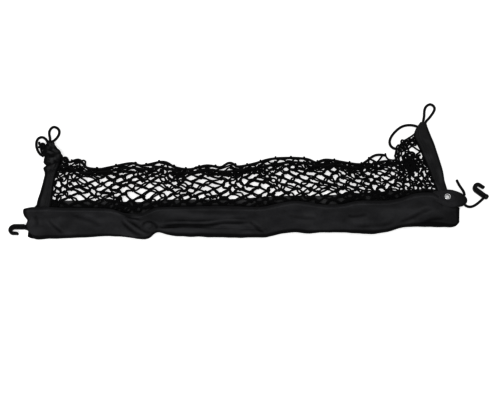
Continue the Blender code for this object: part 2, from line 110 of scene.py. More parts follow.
CORD_FACTS = {
    # name: length, what is at the far end
    "hang_loop_left": (0.105, "object"),
    "hang_loop_right": (0.130, "object"),
    "slack_loop_left": (0.087, "object"),
    "slack_loop_right": (0.122, "object"),
    "cord_stub_left": (0.033, "knot"),
    "cord_tail_right": (0.041, "bare"),
    "hook_cord_right": (0.055, "fitting"),
}
STUB_KNOT = (-0.4682, 0.0872)
STUB_KNOT_REACH = 0.0074
STUB_KNOT_LEAN = 0.7


def eased_rows(rows, steps):
    """Rows of numbers with steps - 1 more rows eased in between each pair."""
    rows = np.array(rows, dtype=float)
    rows = np.vstack([rows[:1], rows, rows[-1:]])
    share = (np.arange(steps) / steps)[:, None]
    eased = []
    for before, start, stop, after in zip(rows, rows[1:], rows[2:], rows[3:]):
        eased.append(0.5 * (2 * start + (stop - before) * share
                            + (2 * before - 5 * start + 4 * stop - after) * share ** 2
                            + (3 * start - before - 3 * stop + after) * share ** 3))
    return np.vstack(eased + [rows[-1:]])


def run_of(line):
    """The length of a line up to each of its points."""
    return np.concatenate([[0.0], np.cumsum(np.linalg.norm(np.diff(line, axis=0), axis=1))])


def even_line(line, count):
    """The same line with its points evenly spaced."""
    run = run_of(line)
    marks = np.linspace(0.0, run[-1], count)
    return np.column_stack([np.interp(marks, run, column) for column in line.T])


def tube_part(lines, radius, sides, dome=0.0, closed=False, up=(0.0, 0.0, 1.0)):
    """Round tubes along lines with the same number of points.

    Gives points, face corners, face sizes and UVs, with U round the tube and V
    along it, in metres. A dome above 0 rounds both ends. Up is never along a line.
    """
    lines = np.array(lines, dtype=float)
    if lines.ndim == 2:
        lines = lines[None]
    count = lines.shape[1]
    if closed:
        runs = np.roll(lines, -1, axis=1) - np.roll(lines, 1, axis=1)
    else:
        runs = np.gradient(lines, axis=1)
    runs /= np.linalg.norm(runs, axis=2, keepdims=True)
    up = np.broadcast_to(np.reshape(np.array(up, dtype=float), (-1, 1, 3)), lines.shape)
    side = np.cross(runs, up)
    side /= np.linalg.norm(side, axis=2, keepdims=True)
    rise = np.cross(runs, side)
    steps = np.linalg.norm(np.diff(lines, axis=1), axis=2)
    along = np.concatenate([np.zeros((len(lines), 1)), np.cumsum(steps, axis=1)], axis=1)
    rings = [(index, 0.0, 1.0) for index in range(count)]
    if dome:
        bends = [math.radians(angle) for angle in (78.0, 52.0, 26.0)]
        rings = ([(0, -dome * math.sin(bend), math.cos(bend)) for bend in bends] + rings
                 + [(count - 1, dome * math.sin(bend), math.cos(bend)) for bend in bends[::-1]])
    if closed:
        rings.append((0, 0.0, 1.0))
    spots = np.array([ring[0] for ring in rings])
    shift = np.array([ring[1] for ring in rings]) * radius
    scale = np.array([ring[2] for ring in rings]) * radius
    middles = lines[:, spots] + runs[:, spots] * shift[None, :, None]
    reach = along[:, spots] + shift
    if closed:
        middles = middles[:, :-1]
        gap = np.linalg.norm(lines[:, 0] - lines[:, -1], axis=1)
        reach[:, -1] = along[:, -1] + gap
    angles = 2.0 * math.pi * np.arange(sides) / sides
    wheel = (np.cos(angles)[None, None, :, None] * side[:, spots][:, :, None]
             + np.sin(angles)[None, None, :, None] * rise[:, spots][:, :, None])
    wheel = wheel * scale[None, :, None, None]
    points = middles[:, :, None] + wheel[:, :middles.shape[1]]
    ring_count = middles.shape[1]
    base = (np.arange(len(lines)) * ring_count * sides)[:, None, None]
    here = np.arange(len(rings) - 1)[None, :, None]
    there = (here + 1) % ring_count
    first = np.arange(sides)[None, None, :]
    second = (first + 1) % sides
    corners = np.stack([base + here * sides + first, base + here * sides + second,
                        base + there * sides + second, base + there * sides + first], axis=-1)
    around = 2.0 * math.pi * radius / sides
    low = np.broadcast_to(first * around, corners.shape[:-1])
    high = low + around
    start = np.broadcast_to(reach[:, :-1, None], corners.shape[:-1])
    stop = np.broadcast_to(reach[:, 1:, None], corners.shape[:-1])
    uvs = np.stack([np.stack([low, start], -1), np.stack([high, start], -1),
                    np.stack([high, stop], -1), np.stack([low, stop], -1)], axis=-2)
    corners = corners.reshape(-1)
    sizes = np.full(len(corners) // 4, 4)
    uvs = uvs.reshape(-1, 2)
    if not closed:
        starts = base[:, 0, 0][:, None]
        ends = starts + (ring_count - 1) * sides
        caps = np.concatenate([starts + np.arange(sides)[::-1], ends + np.arange(sides)])
        corners = np.concatenate([corners, caps.reshape(-1)])
        sizes = np.concatenate([sizes, np.full(len(caps), sides)])
        rim = np.column_stack([np.cos(angles), np.sin(angles)]) * radius
        uvs = np.vstack([uvs, np.tile(rim, (len(caps), 1))])
    return points.reshape(-1, 3), corners, sizes, uvs


def mesh_piece(name, parts, finish):
    """One smooth mesh object made of parts that hold points, corners, sizes and UVs."""
    counts = [len(part[0]) for part in parts]
    shifts = np.concatenate([[0], np.cumsum(counts)[:-1]]).astype(int)
    points = np.vstack([part[0] for part in parts])
    corners = np.concatenate([part[1] + shift for part, shift in zip(parts, shifts)])
    sizes = np.concatenate([part[2] for part in parts])
    uvs = np.vstack([part[3] for part in parts])
    mesh = bpy.data.meshes.new(name)
    mesh.vertices.add(len(points))
    mesh.vertices.foreach_set("co", points.astype(np.float32).ravel())
    mesh.loops.add(len(corners))
    mesh.loops.foreach_set("vertex_index", corners.astype(np.int32))
    mesh.polygons.add(len(sizes))
    first_corners = np.concatenate([[0], np.cumsum(sizes)[:-1]])
    mesh.polygons.foreach_set("loop_start", first_corners.astype(np.int32))
    mesh.update(calc_edges=True)
    layer = mesh.uv_layers.new(name="UVMap")
    layer.data.foreach_set("uv", uvs.astype(np.float32).ravel())
    mesh.shade_smooth()
    mesh.materials.append(finish)
    piece = bpy.data.objects.new(name, mesh)
    bpy.context.scene.collection.objects.link(piece)
    return piece


def new_finish(name, roughness, metallic=0.0, specular=0.5):
    """A material with its node tree and its Principled shader."""
    finish = bpy.data.materials.new(name)
    finish.use_nodes = True
    tree = finish.node_tree
    shader = tree.nodes["Principled BSDF"]
    shader.inputs["Roughness"].default_value = roughness
    shader.inputs["Metallic"].default_value = metallic
    shader.inputs["Specular IOR Level"].default_value = specular
    return finish, tree, shader


def new_group(name, inputs, outputs):
    """A shader node group with named sockets, with the sockets to read and to feed."""
    group = bpy.data.node_groups.new(name, "ShaderNodeTree")
    for socket_name, kind, value in inputs:
        socket = group.interface.new_socket(socket_name, in_out="INPUT", socket_type=kind)
        if value is not None:
            socket.default_value = value
    for socket_name, kind in outputs:
        group.interface.new_socket(socket_name, in_out="OUTPUT", socket_type=kind)
    given = group.nodes.new("NodeGroupInput").outputs
    result = group.nodes.new("NodeGroupOutput").inputs
    return group, given, result


def feed(tree, socket, value):
    """Link a socket to another node's output, or set it to a number."""
    if isinstance(value, bpy.types.NodeSocket):
        tree.links.new(value, socket)
    else:
        socket.default_value = value


def calc(tree, operation, *values):
    """The result of one Math node, fed by sockets or numbers."""
    node = tree.nodes.new("ShaderNodeMath")
    node.operation = operation
    for socket, value in zip(node.inputs, values):
        feed(tree, socket, value)
    return node.outputs[0]


def blend_colours(tree, share, first, second):
    """Two colours mixed by a share between 0 and 1."""
    node = tree.nodes.new("ShaderNodeMix")
    node.data_type = "RGBA"
    feed(tree, node.inputs[0], share)
    feed(tree, node.inputs[6], first)
    feed(tree, node.inputs[7], second)
    return node.outputs[2]


def place_group(tree, group, **values):
    """One use of a node group; an input named With Spaces is given as With_Spaces."""
    node = tree.nodes.new("ShaderNodeGroup")
    node.node_tree = group
    for name, value in values.items():
        feed(tree, node.inputs[name.replace("_", " ")], value)
    return node.outputs


def speckle(tree, vector, scale, detail=2.0):
    """Noise between 0 and 1 on a vector, with a size of about 1 / scale metres."""
    node = tree.nodes.new("ShaderNodeTexNoise")
    node.inputs["Scale"].default_value = scale
    node.inputs["Detail"].default_value = detail
    tree.links.new(vector, node.inputs["Vector"])
    return node.outputs["Fac"]


def split_axes(tree, vector):
    """The X, Y and Z of a vector, by name."""
    node = tree.nodes.new("ShaderNodeSeparateXYZ")
    tree.links.new(vector, node.inputs[0])
    return node.outputs


def held_in_range(tree, value):
    """A value that is held between 0 and 1."""
    node = tree.nodes.new("ShaderNodeClamp")
    tree.links.new(value, node.inputs["Value"])
    return node.outputs["Result"]


def raise_surface(tree, shader, height, distance):
    """Feed a height to a Bump node on the shader's normal."""
    node = tree.nodes.new("ShaderNodeBump")
    node.inputs["Distance"].default_value = distance
    node.inputs["Strength"].default_value = 1.0
    tree.links.new(height, node.inputs["Height"])
    tree.links.new(node.outputs["Normal"], shader.inputs["Normal"])


def surface_uv(tree):
    """The piece's own UV map, whose units are metres."""
    node = tree.nodes.new("ShaderNodeUVMap")
    node.uv_map = "UVMap"
    return node.outputs["UV"]


def object_place(tree):
    """Object coordinates, which are the place in metres."""
    return tree.nodes.new("ShaderNodeTexCoord").outputs["Object"]


# Uneven dye and dust: a soft mask from two sizes of noise.
uneven_tone, given, result = new_group(
    "uneven tone",
    [("Vector", "NodeSocketVector", None), ("Contrast", "NodeSocketFloat", 1.0)],
    [("Tone", "NodeSocketFloat")])
broad = speckle(uneven_tone, given["Vector"], 14.0)
fine = speckle(uneven_tone, given["Vector"], 160.0, 3.0)
mixed = calc(uneven_tone, "ADD", calc(uneven_tone, "MULTIPLY", broad, 0.6),
             calc(uneven_tone, "MULTIPLY", fine, 0.4))
centred = calc(uneven_tone, "MULTIPLY", calc(uneven_tone, "SUBTRACT", mixed, 0.5),
               given["Contrast"])
tone = held_in_range(uneven_tone, calc(uneven_tone, "ADD", centred, 0.5))
uneven_tone.links.new(tone, result["Tone"])

# Braid: two sets of ribs that cross as they wind round a cord.
braid, given, result = new_group(
    "braid",
    [("Vector", "NodeSocketVector", None), ("Ribs", "NodeSocketFloat", 8.0),
     ("Girth", "NodeSocketFloat", 0.0126), ("Rows", "NodeSocketFloat", 420.0)],
    [("Height", "NodeSocketFloat")])
axes = split_axes(braid, given["Vector"])
turn = calc(braid, "MULTIPLY", calc(braid, "DIVIDE", axes["X"], given["Girth"]), given["Ribs"])
rows = calc(braid, "MULTIPLY", axes["Y"], given["Rows"])
right_ribs = calc(braid, "SINE", calc(braid, "MULTIPLY", calc(braid, "ADD", turn, rows), math.pi))
left_ribs = calc(braid, "SINE", calc(braid, "MULTIPLY", calc(braid, "SUBTRACT", turn, rows),
                                     math.pi))
crossing = calc(braid, "MULTIPLY", calc(braid, "ABSOLUTE", right_ribs),
                calc(braid, "ABSOLUTE", left_ribs))
braid.links.new(calc(braid, "POWER", crossing, 0.6), result["Height"])

cord_sleeve, tree, shader = new_finish("braided cord sleeve", 0.62, specular=0.12)
ribs = place_group(tree, braid, Vector=surface_uv(tree), Girth=math.pi * CORD_WIDTH)["Height"]
dust = place_group(tree, uneven_tone, Vector=object_place(tree), Contrast=1.6)["Tone"]
light = calc(tree, "MULTIPLY", ribs, calc(tree, "ADD", calc(tree, "MULTIPLY", dust, 0.7), 0.3))
tree.links.new(blend_colours(tree, light, CORD_BLACK, CORD_GREY), shader.inputs["Base Color"])
tree.links.new(calc(tree, "SUBTRACT", 0.8, calc(tree, "MULTIPLY", ribs, 0.25)),
               shader.inputs["Roughness"])
raise_surface(tree, shader, ribs, 0.00035)


def lay_cord(name):
    """One cord along its route, with the points that it follows."""
    dense = eased_rows(CORD_ROUTES[name], 12)
    dense[:, 2] = np.maximum(dense[:, 2], CORD_WIDTH / 2.0 + 0.0001)
    line = even_line(dense, int(run_of(dense)[-1] / CORD_POINT_STEP) + 1)
    tube = tube_part(line, CORD_WIDTH / 2.0, CORD_SIDES, dome=CORD_DOME)
    cord = mesh_piece(name + "_cord", [tube], cord_sleeve)
    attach(cord, "root")
    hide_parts(name)
    return cord, line


def pulled_knot(middle, reach, lean):
    """A pulled-up knot's line: a flat three-lobed loop of cord, as wide as its reach."""
    turn = np.linspace(0.0, 2.0 * math.pi, 61)[:-1]
    x = (np.sin(turn) + 2.0 * np.sin(2.0 * turn)) / 3.0 * reach
    y = (np.cos(turn) - 2.0 * np.cos(2.0 * turn)) / 3.0 * reach * 0.8
    z = -np.sin(3.0 * turn) * CORD_WIDTH * 0.62 + CORD_WIDTH * 1.12
    across = x * math.cos(lean) - y * math.sin(lean)
    up = x * math.sin(lean) + y * math.cos(lean)
    return np.column_stack([middle[0] + across, middle[1] + up, z])


for cord_name, (cord_length, far_end) in CORD_FACTS.items():
    cord, line = lay_cord(cord_name)
    if far_end == "knot":
        knot_line = pulled_knot(STUB_KNOT, STUB_KNOT_REACH, STUB_KNOT_LEAN)
        tube = tube_part(knot_line, CORD_WIDTH / 2.0, CORD_SIDES, closed=True)
        knot = mesh_piece(cord_name + "_knot", [tube], cord_sleeve)
        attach(knot, "root")

# ------------------------------------------------------------ pocket front
# The pocket's front is one length of black coated cloth. It is rolled under
# along the bottom, stands up in a soft crown, and ends in a double hem that
# is stitched on top. It lies slack, with creases pressed into it by folding.
CLOTH_SHEET = 0.0009
HEM_FOLD = 0.0010            # from the cloth down to its turned edge
HEM_DEPTH_POINTS = 6
POCKET_STEP = 0.0024
POCKET_LINE_POINTS = 66
FULL_CROWN = 0.014               # a crown this high has the roll at its full height
CROWN_POINTS = 28
ROLL_WANDER = 0.0011
END_SLANT = -0.004               # how far the right end's foot is drawn in
LOWEST_CROWN = 0.00295
LOWEST_DENT = 0.0026
CREASE_GAIN = 1.2
STITCH_PITCH = 0.0034
STITCH_LENGTH = 0.0026
STITCH_SINK = 0.0002
THREAD_WIDTH = 0.0006
CLOTH_BLACK = (0.034, 0.034, 0.036, 1.0)
CLOTH_GREY = (0.056, 0.056, 0.060, 1.0)
# the grey that rubbed places go to, also used as painted highlight on ridges
CLOTH_WORN_AND_LIT = (0.080, 0.080, 0.084, 1.0)
# the deep black that is painted into folds, creases, hems and edges as shade
PAINTED_SHADE_BLACK = (0.006, 0.006, 0.007, 1.0)
THREAD_BLACK = (0.020, 0.020, 0.022, 1.0)
THREAD_GREY = (0.052, 0.052, 0.055, 1.0)
POCKET_SECTIONS = (
    # x, hem_y, hem_z, roll_y, crown, crease
    (-0.4928, -0.0735, 0.0036, -0.1363, 0.0055, 0.0),
    (-0.4818, -0.0722, 0.0064, -0.1413, 0.0100, 0.0),
    (-0.4628, -0.0718, 0.0100, -0.1473, 0.0140, 0.0),
    (-0.4148, -0.0735, 0.0110, -0.1458, 0.0160, 0.0),
    (-0.3348, -0.0745, 0.0105, -0.1420, 0.0150, 0.0),
    (-0.2948, -0.0778, 0.0120, -0.1398, 0.0160, 0.0),
    (-0.2568, -0.0893, 0.0150, -0.1413, 0.0180, 0.0),
    (-0.2268, -0.0913, 0.0150, -0.1466, 0.0190, 0.0),
    (-0.2048, -0.0803, 0.0120, -0.1448, 0.0180, 0.0020),
    (-0.1848, -0.0733, 0.0110, -0.1308, 0.0140, 0.0030),
    (-0.1448, -0.0713, 0.0100, -0.1393, 0.0150, 0.0030),
    (-0.0548, -0.0693, 0.0100, -0.1423, 0.0150, 0.0050),
    (0.0452, -0.0713, 0.0100, -0.1433, 0.0150, 0.0040),
    (0.0692, -0.0673, 0.0100, -0.1403, 0.0150, 0.0010),
    (0.0972, -0.0613, 0.0100, -0.1335, 0.0140, 0.0),
    (0.1272, -0.0563, 0.0105, -0.1306, 0.0150, 0.0),
    (0.1572, -0.0613, 0.0130, -0.1328, 0.0170, 0.0),
    (0.1952, -0.0683, 0.0150, -0.1304, 0.0180, 0.0),
    (0.2352, -0.0663, 0.0140, -0.1308, 0.0170, 0.0),
    (0.2672, -0.0573, 0.0110, -0.1326, 0.0160, 0.0),
    (0.3052, -0.0563, 0.0120, -0.1338, 0.0160, 0.0),
    (0.3402, -0.0568, 0.0140, -0.1278, 0.0170, 0.0),
    (0.3702, -0.0498, 0.0120, -0.1183, 0.0160, 0.0),
    (0.4052, -0.0373, 0.0100, -0.1163, 0.0140, 0.0),
    (0.4412, -0.0343, 0.0070, -0.1173, 0.0110, 0.0),
    (0.4612, -0.0463, 0.0062, -0.1173, 0.0090, 0.0),
    (0.4772, -0.0583, 0.0054, -0.1173, 0.0080, 0.0),
    (0.4912, -0.0653, 0.0046, -0.1143, 0.0070, 0.0),
    (0.5032, -0.0703, 0.0032, -0.1043, 0.0050, 0.0),
)
ROLL_PROFILE = (
    # in from the roll's edge, height
    (0.0090, 0.0029), (0.0032, 0.0030), (0.0004, 0.0042), (0.0, 0.0068),
)
ROLL_LOW = ROLL_PROFILE[0][1]
ROLL_TOP = ROLL_PROFILE[-1][1]
LEFT_END = (
    # y, x of the pocket's left end, from its hem down to the roll
    (-0.0700, -0.4905), (-0.0735, -0.4938), (-0.0777, -0.4948), (-0.0850, -0.4935),
    (-0.0923, -0.4893), (-0.1005, -0.4827), (-0.1085, -0.4838), (-0.1169, -0.4866),
    (-0.1220, -0.4835), (-0.1270, -0.4780), (-0.1360, -0.4712), (-0.1444, -0.4633),
)
CREASES = (
    # depth, width, route; a ridge where the depth is below 0
    (0.0022, 0.0030, ((-0.2830, -0.0790), (-0.2600, -0.0916), (-0.2444, -0.0985),
                      (-0.2200, -0.1047))),
    (0.0015, 0.0028, ((-0.2700, -0.1010), (-0.2547, -0.1202), (-0.2351, -0.1362),
                      (-0.2195, -0.1430))),
    (-0.0022, 0.0042, ((-0.2660, -0.1020), (-0.2490, -0.1150), (-0.2300, -0.1290),
                       (-0.2080, -0.1390))),
    (0.0017, 0.0028, ((-0.2515, -0.1060), (-0.2350, -0.1180), (-0.2190, -0.1300),
                      (-0.2030, -0.1350), (-0.1900, -0.1320))),
    (0.0019, 0.0026, ((-0.2180, -0.1250), (-0.2160, -0.1150), (-0.2062, -0.1092),
                      (-0.1940, -0.1122), (-0.1866, -0.1200), (-0.1900, -0.1300))),
    (-0.0020, 0.0046, ((-0.2110, -0.1230), (-0.2050, -0.1180), (-0.1980, -0.1190))),
    (0.0034, 0.0034, ((-0.1960, -0.1190), (-0.1780, -0.1206), (-0.1600, -0.1196),
                      (-0.1306, -0.1177), (-0.0931, -0.1184), (-0.0667, -0.1170),
                      (-0.0404, -0.1108), (-0.0103, -0.1104), (0.0260, -0.1085))),
    (-0.0016, 0.0060, ((-0.1850, -0.1290), (-0.1400, -0.1290), (-0.0900, -0.1295),
                       (-0.0300, -0.1270), (0.0200, -0.1230))),
    (0.0013, 0.0034, ((-0.1740, -0.1020), (-0.1083, -0.1047), (-0.0556, -0.1040),
                      (-0.0029, -0.1000), (0.0300, -0.0990))),
    (-0.0010, 0.0060, ((-0.1500, -0.0900), (-0.0900, -0.0920), (-0.0200, -0.0880))),
    (0.0018, 0.0028, ((-0.4330, -0.1042), (-0.4163, -0.1206), (-0.3960, -0.1383))),
    (0.0014, 0.0040, ((-0.4660, -0.0900), (-0.4590, -0.1040), (-0.4570, -0.1200))),
    (0.0017, 0.0030, ((0.0210, -0.1060), (0.0274, -0.1123), (0.0423, -0.1245),
                      (0.0573, -0.1370))),
    (0.0018, 0.0036, ((0.3600, -0.1130), (0.3667, -0.1084), (0.3932, -0.0969),
                      (0.4170, -0.0838), (0.4420, -0.0740))),
    (0.0014, 0.0036, ((0.4180, -0.1080), (0.4420, -0.1000), (0.4700, -0.0960))),
    (0.0018, 0.0042, ((0.2430, -0.0930), (0.2620, -0.0950), (0.2914, -0.0899))),
    (0.0014, 0.0044, ((0.2491, -0.1208), (0.2899, -0.1189), (0.3284, -0.1157),
                      (0.3540, -0.1067))),
    (0.0012, 0.0044, ((0.1030, -0.0903), (0.1368, -0.0977), (0.1775, -0.1014))),
    (0.0014, 0.0050, ((-0.3850, -0.0899), (-0.3431, -0.1022), (-0.3055, -0.1217))),
)
DENTS = (
    # height, size, how many times finer along x and along y, seed
    (0.0022, 0.045, 1.0, 1.9, 3.0), (0.0012, 0.015, 0.6, 1.0, 8.0),
    (0.0004, 0.0065, 1.0, 1.0, 12.0),
)


def soft_step(value):
    """0 below 0, 1 above 1, and an even ease between."""
    value = np.clip(value, 0.0, 1.0)
    return value * value * (3.0 - 2.0 * value)


def crease_profile(x, y, route, width):
    """A crease's height at each place, -1 on its line with a low lip on either side."""
    line = eased_rows(route, 6)
    run = run_of(line)
    nearest = np.full(x.shape, 1e9)
    along = np.zeros(x.shape)
    for start, stop, run_start, run_stop in zip(line, line[1:], run, run[1:]):
        step = stop - start
        share = ((x - start[0]) * step[0] + (y - start[1]) * step[1]) / (step @ step)
        share = np.clip(share, 0.0, 1.0)
        gap = np.hypot(x - start[0] - share * step[0], y - start[1] - share * step[1])
        closer = gap < nearest
        nearest = np.where(closer, gap, nearest)
        along = np.where(closer, (run_start + share * (run_stop - run_start)) / run[-1], along)
    fade = soft_step(np.minimum(along, 1.0 - along) / 0.22 + 0.12)
    trough = np.exp(-(nearest / width) ** 2)
    lip = np.exp(-((nearest - 2.1 * width) / (1.2 * width)) ** 2)
    return fade * (0.42 * lip - trough)


def soft_noise(x, y, size, seed):
    """Smooth noise between about -1 and 1 over a plane, with bumps of a given size."""
    x, y = np.broadcast_arrays(x, y)
    values = [noise.noise((a, b, seed)) for a, b in zip(x.ravel() / size, y.ravel() / size)]
    return np.reshape(values, x.shape)


def grid_normals(grid):
    """The unit normal at each point of a grid of rows and columns."""
    normals = np.cross(np.gradient(grid, axis=1), np.gradient(grid, axis=0))
    return normals / np.linalg.norm(normals, axis=2, keepdims=True)


def grid_part(grid):
    """A sheet's surface from a grid of points, with UVs that keep its size in metres."""
    rows, columns = grid.shape[:2]
    across = np.linalg.norm(np.diff(grid, axis=1), axis=2)
    across = np.concatenate([np.zeros((rows, 1)), np.cumsum(across, axis=1)], axis=1)
    across = np.broadcast_to(across.mean(axis=0), (rows, columns))
    down = np.linalg.norm(np.diff(grid, axis=0), axis=2)
    down = np.concatenate([np.zeros((1, columns)), np.cumsum(down, axis=0)], axis=0)
    flat = np.stack([across, down], axis=-1).reshape(-1, 2)
    row = np.arange(rows - 1)[:, None]
    column = np.arange(columns - 1)[None, :]
    corner = row * columns + column
    corners = np.stack([corner, corner + 1, corner + columns + 1, corner + columns], axis=-1)
    corners = corners.reshape(-1)
    return grid.reshape(-1, 3), corners, np.full(len(corners) // 4, 4), flat[corners]


def give_thickness(piece, thickness):
    """Turn a surface into cloth of a given thickness, half on each side."""
    solid = piece.modifiers.new("cloth thickness", "SOLIDIFY")
    solid.thickness = thickness
    solid.offset = 0.0
    solid.use_even_offset = False


def cloth_piece(name, grid, finish, wear_and_highlight, painted_shade):
    """A surface of cloth whose points keep two values from 0 to 1: rubbing with painted
    highlight, and painted shade.
    """
    piece = mesh_piece(name, [grid_part(grid)], finish)
    for mark_name, values in (("wear_and_highlight", wear_and_highlight), ("painted_shade", painted_shade)):
        mark = piece.data.attributes.new(mark_name, "FLOAT", "POINT")
        mark.data.foreach_set("value", np.clip(values, 0.0, 1.0).astype(np.float32).ravel())
    return piece


def round_edges(piece, width, angle):
    """Give a small bevel to the edges that turn by more than an angle in degrees."""
    bevel = piece.modifiers.new("rounding", "BEVEL")
    bevel.width = width
    bevel.segments = 2
    bevel.limit_method = "ANGLE"
    bevel.angle_limit = math.radians(angle)


def turned_edge(edge, out, over):
    """The rows of cloth that turn over from an edge, in a half circle to the hem."""
    rows = []
    for angle in np.linspace(0.0, math.pi, 7)[1:]:
        rows.append(edge + over * (1.0 - math.cos(angle)) * HEM_FOLD / 2.0
                    + out * math.sin(angle) * HEM_FOLD / 2.0)
    return rows


def stitch_part(line, ups, pitch=STITCH_PITCH, length=STITCH_LENGTH):
    """A row of stitches along a line on cloth: short raised threads with a gap between."""
    run = run_of(line)
    count = int(run[-1] / pitch)
    middles = (np.arange(count) + 0.5) * run[-1] / count
    shares = np.array([-0.5, -0.32, 0.0, 0.32, 0.5])
    lifts = np.array([-STITCH_SINK, THREAD_WIDTH * 0.42, THREAD_WIDTH * 0.6, THREAD_WIDTH * 0.42,
                      -STITCH_SINK])
    marks = middles[:, None] + shares[None, :] * length
    spots = np.stack([np.interp(marks, run, column) for column in line.T], axis=-1)
    rises = np.stack([np.interp(marks, run, column) for column in ups.T], axis=-1)
    return tube_part(spots + rises * lifts[None, :, None], THREAD_WIDTH / 2.0, 6)


# Woven cloth: over and under threads, in metres of the UV map.
weave, given, result = new_group(
    "plain weave",
    [("Vector", "NodeSocketVector", None), ("Threads", "NodeSocketFloat", 2200.0)],
    [("Height", "NodeSocketFloat")])
axes = split_axes(weave, given["Vector"])
warp_turn = calc(weave, "MULTIPLY", axes["X"], given["Threads"])
weft_turn = calc(weave, "MULTIPLY", axes["Y"], given["Threads"])


def thread_height(tree, turn, other_turn, shift):
    """The height of one set of threads, which ride over every second crossing."""
    crown = calc(tree, "ABSOLUTE", calc(tree, "SINE", calc(tree, "MULTIPLY", turn, math.pi)))
    place = calc(tree, "ADD", calc(tree, "ADD", calc(tree, "FLOOR", turn), other_turn), shift)
    wave = calc(tree, "COSINE", calc(tree, "MULTIPLY", place, math.pi))
    return calc(tree, "MULTIPLY", crown, calc(tree, "MULTIPLY_ADD", wave, 0.5, 0.5))


weave.links.new(calc(weave, "MAXIMUM", thread_height(weave, warp_turn, weft_turn, 0.5),
                     thread_height(weave, weft_turn, warp_turn, 1.5)), result["Height"])

# Rubbed edges and folds, with painted highlight on lit ridges, as one mask broken up by fine
# noise.
edge_wear_and_highlight, given, result = new_group(
    "edge wear",
    [("Vector", "NodeSocketVector", None), ("Wear", "NodeSocketFloat", 0.0),
     ("Breakup", "NodeSocketFloat", 0.6)],
    [("Mask", "NodeSocketFloat")])
grit = speckle(edge_wear_and_highlight, given["Vector"], 420.0, 4.0)
broken = calc(edge_wear_and_highlight, "MULTIPLY", calc(edge_wear_and_highlight, "SUBTRACT", grit, 0.5), given["Breakup"])
spread = calc(edge_wear_and_highlight, "MULTIPLY", broken, given["Wear"])
spread = calc(edge_wear_and_highlight, "ADD", given["Wear"], spread)
edge_wear_and_highlight.links.new(held_in_range(edge_wear_and_highlight, spread), result["Mask"])


def point_value(tree, name):
    """A value that a piece's points keep, as in cloth_piece."""
    node = tree.nodes.new("ShaderNodeAttribute")
    node.attribute_name = name
    return node.outputs["Fac"]


def woven_finish(name, threads, dark, light, worn_and_lit, roughness, bump):
    """A woven cloth finish with its own thread count and colours.

    One point value greys places of rubbing and paints highlight on lit ridges. The other
    paints shade in a deep black into folds, creases, hems, rolled edges and outer edges.
    """
    finish, tree, shader = new_finish(name, roughness, specular=0.20)
    cloth_threads = place_group(tree, weave, Vector=surface_uv(tree), Threads=threads)["Height"]
    dye = place_group(tree, uneven_tone, Vector=object_place(tree), Contrast=1.8)["Tone"]
    rubbed_and_lit = place_group(tree, edge_wear_and_highlight, Vector=object_place(tree),
                         Wear=point_value(tree, "wear_and_highlight"))["Mask"]
    share = calc(tree, "MULTIPLY", dye, calc(tree, "MULTIPLY_ADD", cloth_threads, 0.5, 0.5))
    broad = calc(tree, "MULTIPLY_ADD", speckle(tree, object_place(tree), 7.0, 1.0), 1.6, -0.3)
    share = calc(tree, "MULTIPLY", share, calc(tree, "MULTIPLY_ADD", broad, 1.3, 0.30))
    base = blend_colours(tree, rubbed_and_lit, blend_colours(tree, share, dark, light), worn_and_lit)
    tree.links.new(blend_colours(tree, point_value(tree, "painted_shade"), base, PAINTED_SHADE_BLACK),
                   shader.inputs["Base Color"])
    tree.links.new(calc(tree, "MULTIPLY_ADD", dye, 0.14, roughness - 0.07),
                   shader.inputs["Roughness"])
    raise_surface(tree, shader, cloth_threads, bump)
    return finish


panel_finish = woven_finish("coated panel cloth", 2200.0, CLOTH_BLACK, CLOTH_GREY, CLOTH_WORN_AND_LIT,
                            0.62, 0.00012)

thread_finish, tree, shader = new_finish("sewing thread", 0.6, specular=0.2)
thread_twist = place_group(tree, braid, Vector=surface_uv(tree), Ribs=1.0, Girth=0.0016,
                           Rows=900.0)["Height"]
tree.links.new(blend_colours(tree, thread_twist, THREAD_BLACK, THREAD_GREY),
               shader.inputs["Base Color"])
raise_surface(tree, shader, thread_twist, 0.00012)

sections = eased_rows(POCKET_SECTIONS, 24)
station_count = int((sections[-1, 0] - sections[0, 0]) / POCKET_STEP) + 1
station_x = np.linspace(sections[0, 0], sections[-1, 0], station_count)
pocket_lines = []
for x in station_x:
    hem_y, hem_z, roll_y, crown, crease = [
        np.interp(x, sections[:, 0], sections[:, column]) for column in range(1, 6)]
    fullness = min(crown / FULL_CROWN, 1.0)
    roll_y += ROLL_WANDER * noise.noise((x / 0.021, 0.4, 2.0))
    lean = END_SLANT * math.exp((x - station_x[-1]) / 0.010)
    profile = [(x + lean, roll_y + inset * (0.4 + 0.6 * fullness),
                ROLL_LOW + (height - ROLL_LOW) * fullness) for inset, height in ROLL_PROFILE]
    for share in np.linspace(0.05, 1.0, CROWN_POINTS):      # from the roll to the hem
        rise = max(math.sin(math.pi * min(share / 0.9, 1.0) ** 0.62), 0.0) ** 0.8
        height = ROLL_TOP * fullness + (hem_z - ROLL_TOP * fullness) * share
        height += (crown - (ROLL_TOP + hem_z) / 2.0) * rise
        height -= crease * math.exp(-((share - 0.26) / 0.07) ** 2)
        profile.append((x + lean * (1.0 - share), roll_y + (hem_y - roll_y) * share,
                        max(height, LOWEST_CROWN)))
    pocket_lines.append(even_line(eased_rows(profile, 4), POCKET_LINE_POINTS))
pocket = np.array(pocket_lines).transpose(1, 0, 2)
left_end = eased_rows(LEFT_END, 6)[::-1]
end_x = np.interp(pocket[..., 1], left_end[:, 0], left_end[:, 1])
pocket[..., 0] += (end_x - station_x[0]) * np.exp(-(station_x - station_x[0]) / 0.020)[None, :]

